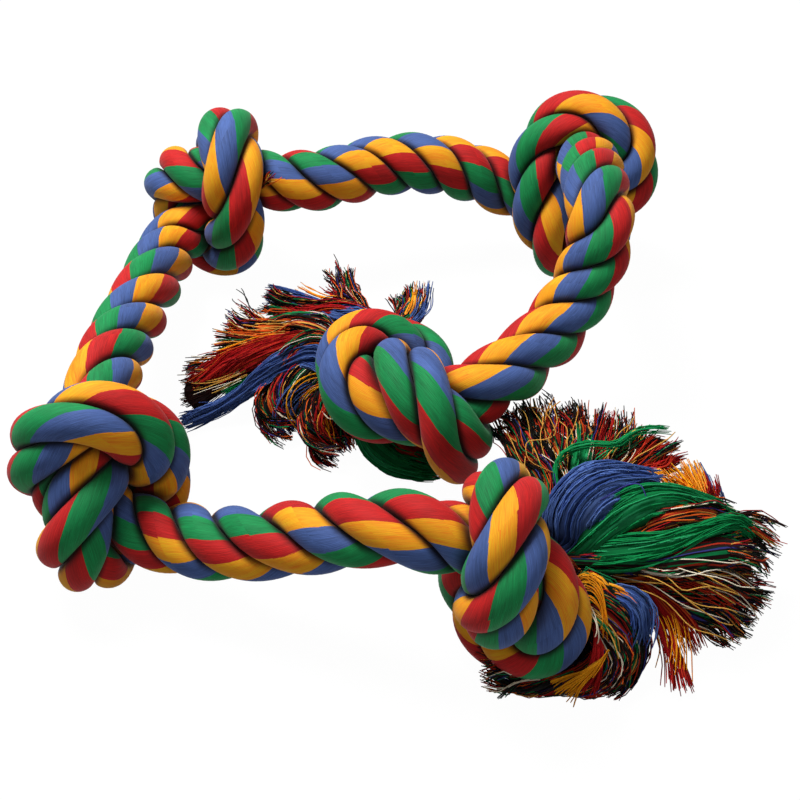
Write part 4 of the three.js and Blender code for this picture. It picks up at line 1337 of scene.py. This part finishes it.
materials = {
    "blue": yarn_material("blue_cotton", [BLUE, "3A5496", "5B78B8"], [0, 0.5, 0.8]),
    "green": yarn_material("green_cotton", [GREEN, "0B7540", "2AA064"], [0, 0.55, 0.85]),
    "red": yarn_material("red_cotton", ["B01A1C", "8C1214", "C03020", "D0501E"],
                         [0, 0.45, 0.8, 0.94]),
    "yellow": yarn_material("yellow_cotton", [YELLOW, "F08A1C", "FFC04A"], [0, 0.5, 0.85]),
    "core": yarn_material(
        "mixed_cotton",
        ["0C0A08", "14201A", "2A0E0C", "1A1430", "B8301C", "E2601E", "0F7A44", "A81820", "E0A048",
         "FFF4DC", "3C3C88"],
        [0, 0.27, 0.38, 0.50, 0.57, 0.655, 0.73, 0.81, 0.89, 0.935, 0.965]),
}
print(len(materials), "yarn materials")

# %% [markdown]
# ## The two tassels
# Each bundle of the solid model, a wrap or a core of one strand, becomes one piece with all
# of its locks. A lock with many yarns gets its body too. Light reaches the inner yarns more
# slowly along the lock, so a body stays dark for longer. A loose thread comes into sight a
# good way along its yarn, so it isn't dark at its start.

# %% Make the tassels
BANDS = {"blue": 0, "green": 1, "red": 2, "yellow": 3}
THICK_LOCK = 50  # yarns from which a lock gets a body
BODY_PACE = 0.5  # how fast a body comes out of the dark, beside a yarn's 1
LOOSE_START = 26  # mm along its yarn at which a loose thread comes into sight
made = 0
for (fray, letter), locks in LOCKS.items():
    for bundle, parts in locks.items():
        which = ("abc".index(letter), fray == "fray_2_front", BANDS.get(bundle))
        tubes = []
        for part in parts:
            threads, tones = lock_lines(*which, *part)
            made += len(threads)
            hidden = LOOSE_START if len(part) > 4 else 0
            tubes.append((*yarn_tubes(clear_of_rope(threads), tones), hidden, 1))
            if part[0] >= THICK_LOCK:
                points, tones = lock_body(*which, *part)
                points[..., 2] = np.maximum(points[..., 2], 0.1 * MM)
                tubes.append((points[None], tones[None], 0, BODY_PACE))
        piece = lock_mesh(f"{fray}_{letter}_{bundle}_lock", tubes)
        piece.data.materials.append(materials[bundle])
        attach(piece, "root")
        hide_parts(f"{fray}_strand_{letter}_{bundle}_yarns")
print(made, "yarns in the tassels")

# %% [markdown]
# ## A tuft at the back knot
# Beside the knot at the back a few cut ends stand out over the rope, perhaps where a core has
# broken inside the knot. They are yarn like that of the tassels, but short and apart, so they
# are loose threads along one short line. The solid model has no solid for them, so this piece
# replaces none.

# %% Loose ends at the back knot
LOOSE_ENDS = [(7, 0.1), (5, 0.9), (4, 0.66), (3, 0.83)]  # how many yarns, and their colour
TUFT_THICKNESS = 1.5
TUFT_MARKS = [(261, 187, 59, 1), (265, 181, 64, 2), (270, 174, 69, 3.5), (274, 168, 72, 4)]
threads, tones = map(np.concatenate, zip(*[
    lock_lines(0, False, None, many, TUFT_THICKNESS, TUFT_MARKS, 0, tone)
    for many, tone in LOOSE_ENDS]))
piece = lock_mesh("knot_3_back_loose_ends", [(*yarn_tubes(threads, tones), LOOSE_START, 1)])
piece.data.materials.append(materials["core"])
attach(piece, "root")
print(len(threads), "loose ends")

# %% [markdown]
# ## The floor
# The photograph is a catalogue picture on white ground. A white floor would throw so much
# light back that the toy's underside would be too bright. So for light the floor is a middle
# grey, and to the camera it looks white by a plain emission, with a faint shadow left.


# %% A floor that is white to the camera
def seen_rays(tree):
    """1 for rays from the camera or off something glossy, 0 for rays that carry light."""
    rays = tree.nodes.new("ShaderNodeLightPath")
    return maths(tree, "MAXIMUM", rays.outputs["Is Camera Ray"], rays.outputs["Is Glossy Ray"])


FLOOR_REACH = 3  # metres from the middle
corners = np.array([(-1, -1, 0), (1, -1, 0), (1, 1, 0), (-1, 1, 0)], float) * FLOOR_REACH
floor = new_mesh("pale_floor", corners, np.array([[0, 1, 2, 3]]))
floor_material = bpy.data.materials.new("pale_floor")
floor_material.use_nodes = True
tree = floor_material.node_tree
paper = tree.nodes["Principled BSDF"]
paper.inputs["Base Color"].default_value = (0.2, 0.2, 0.2, 1)
paper.inputs["Roughness"].default_value = 0.9
glow = tree.nodes.new("ShaderNodeEmission")
glow.inputs["Strength"].default_value = 1.14
mixed = tree.nodes.new("ShaderNodeMixShader")
tree.links.new(maths(tree, "MULTIPLY", seen_rays(tree), 0.86), mixed.inputs[0])
tree.links.new(paper.outputs[0], mixed.inputs[1])
tree.links.new(glow.outputs[0], mixed.inputs[2])
tree.links.new(mixed.outputs[0], tree.nodes["Material Output"].inputs["Surface"])
floor.data.materials.append(floor_material)
print("floor of", 2 * FLOOR_REACH, "m")

# %% [markdown]
# ## Light
# The picture has soft light from above and a little from the left, with gentle shadows under
# the rope. One large lamp gives the direction and a weak one opens the shadows in front. The
# room is white to the camera and dim to the toy, so the lamps can stay at a level that leaves
# the colours as they are written.

# %% World and lamps
world = bpy.data.worlds.new("studio")
bpy.context.scene.world = world
world.use_nodes = True
sky = world.node_tree.nodes["Background"]
sky.inputs["Color"].default_value = (1, 1, 1, 1)
sky_strength = maths(world.node_tree, "MULTIPLY_ADD", seen_rays(world.node_tree), 0.88, 0.12)
world.node_tree.links.new(sky_strength, sky.inputs["Strength"])


def area_lamp(name, place, size, power):
    """A square lamp that shines at the middle of the table."""
    data = bpy.data.lights.new(name, "AREA")
    data.size, data.energy = size, power
    lamp = bpy.data.objects.new(name, data)
    bpy.context.scene.collection.objects.link(lamp)
    lamp.location = place
    lamp.rotation_euler = (-Vector(place)).to_track_quat("-Z", "Y").to_euler()


area_lamp("key_lamp", (-0.4, 0.3, 1.15), 0.5, 19)
area_lamp("fill_lamp", (0.5, -1.1, 0.8), 1.0, 2.5)
scene = bpy.context.scene
scene.view_settings.view_transform = "Standard"

# %% The last update of the scene
bpy.context.view_layer.update()
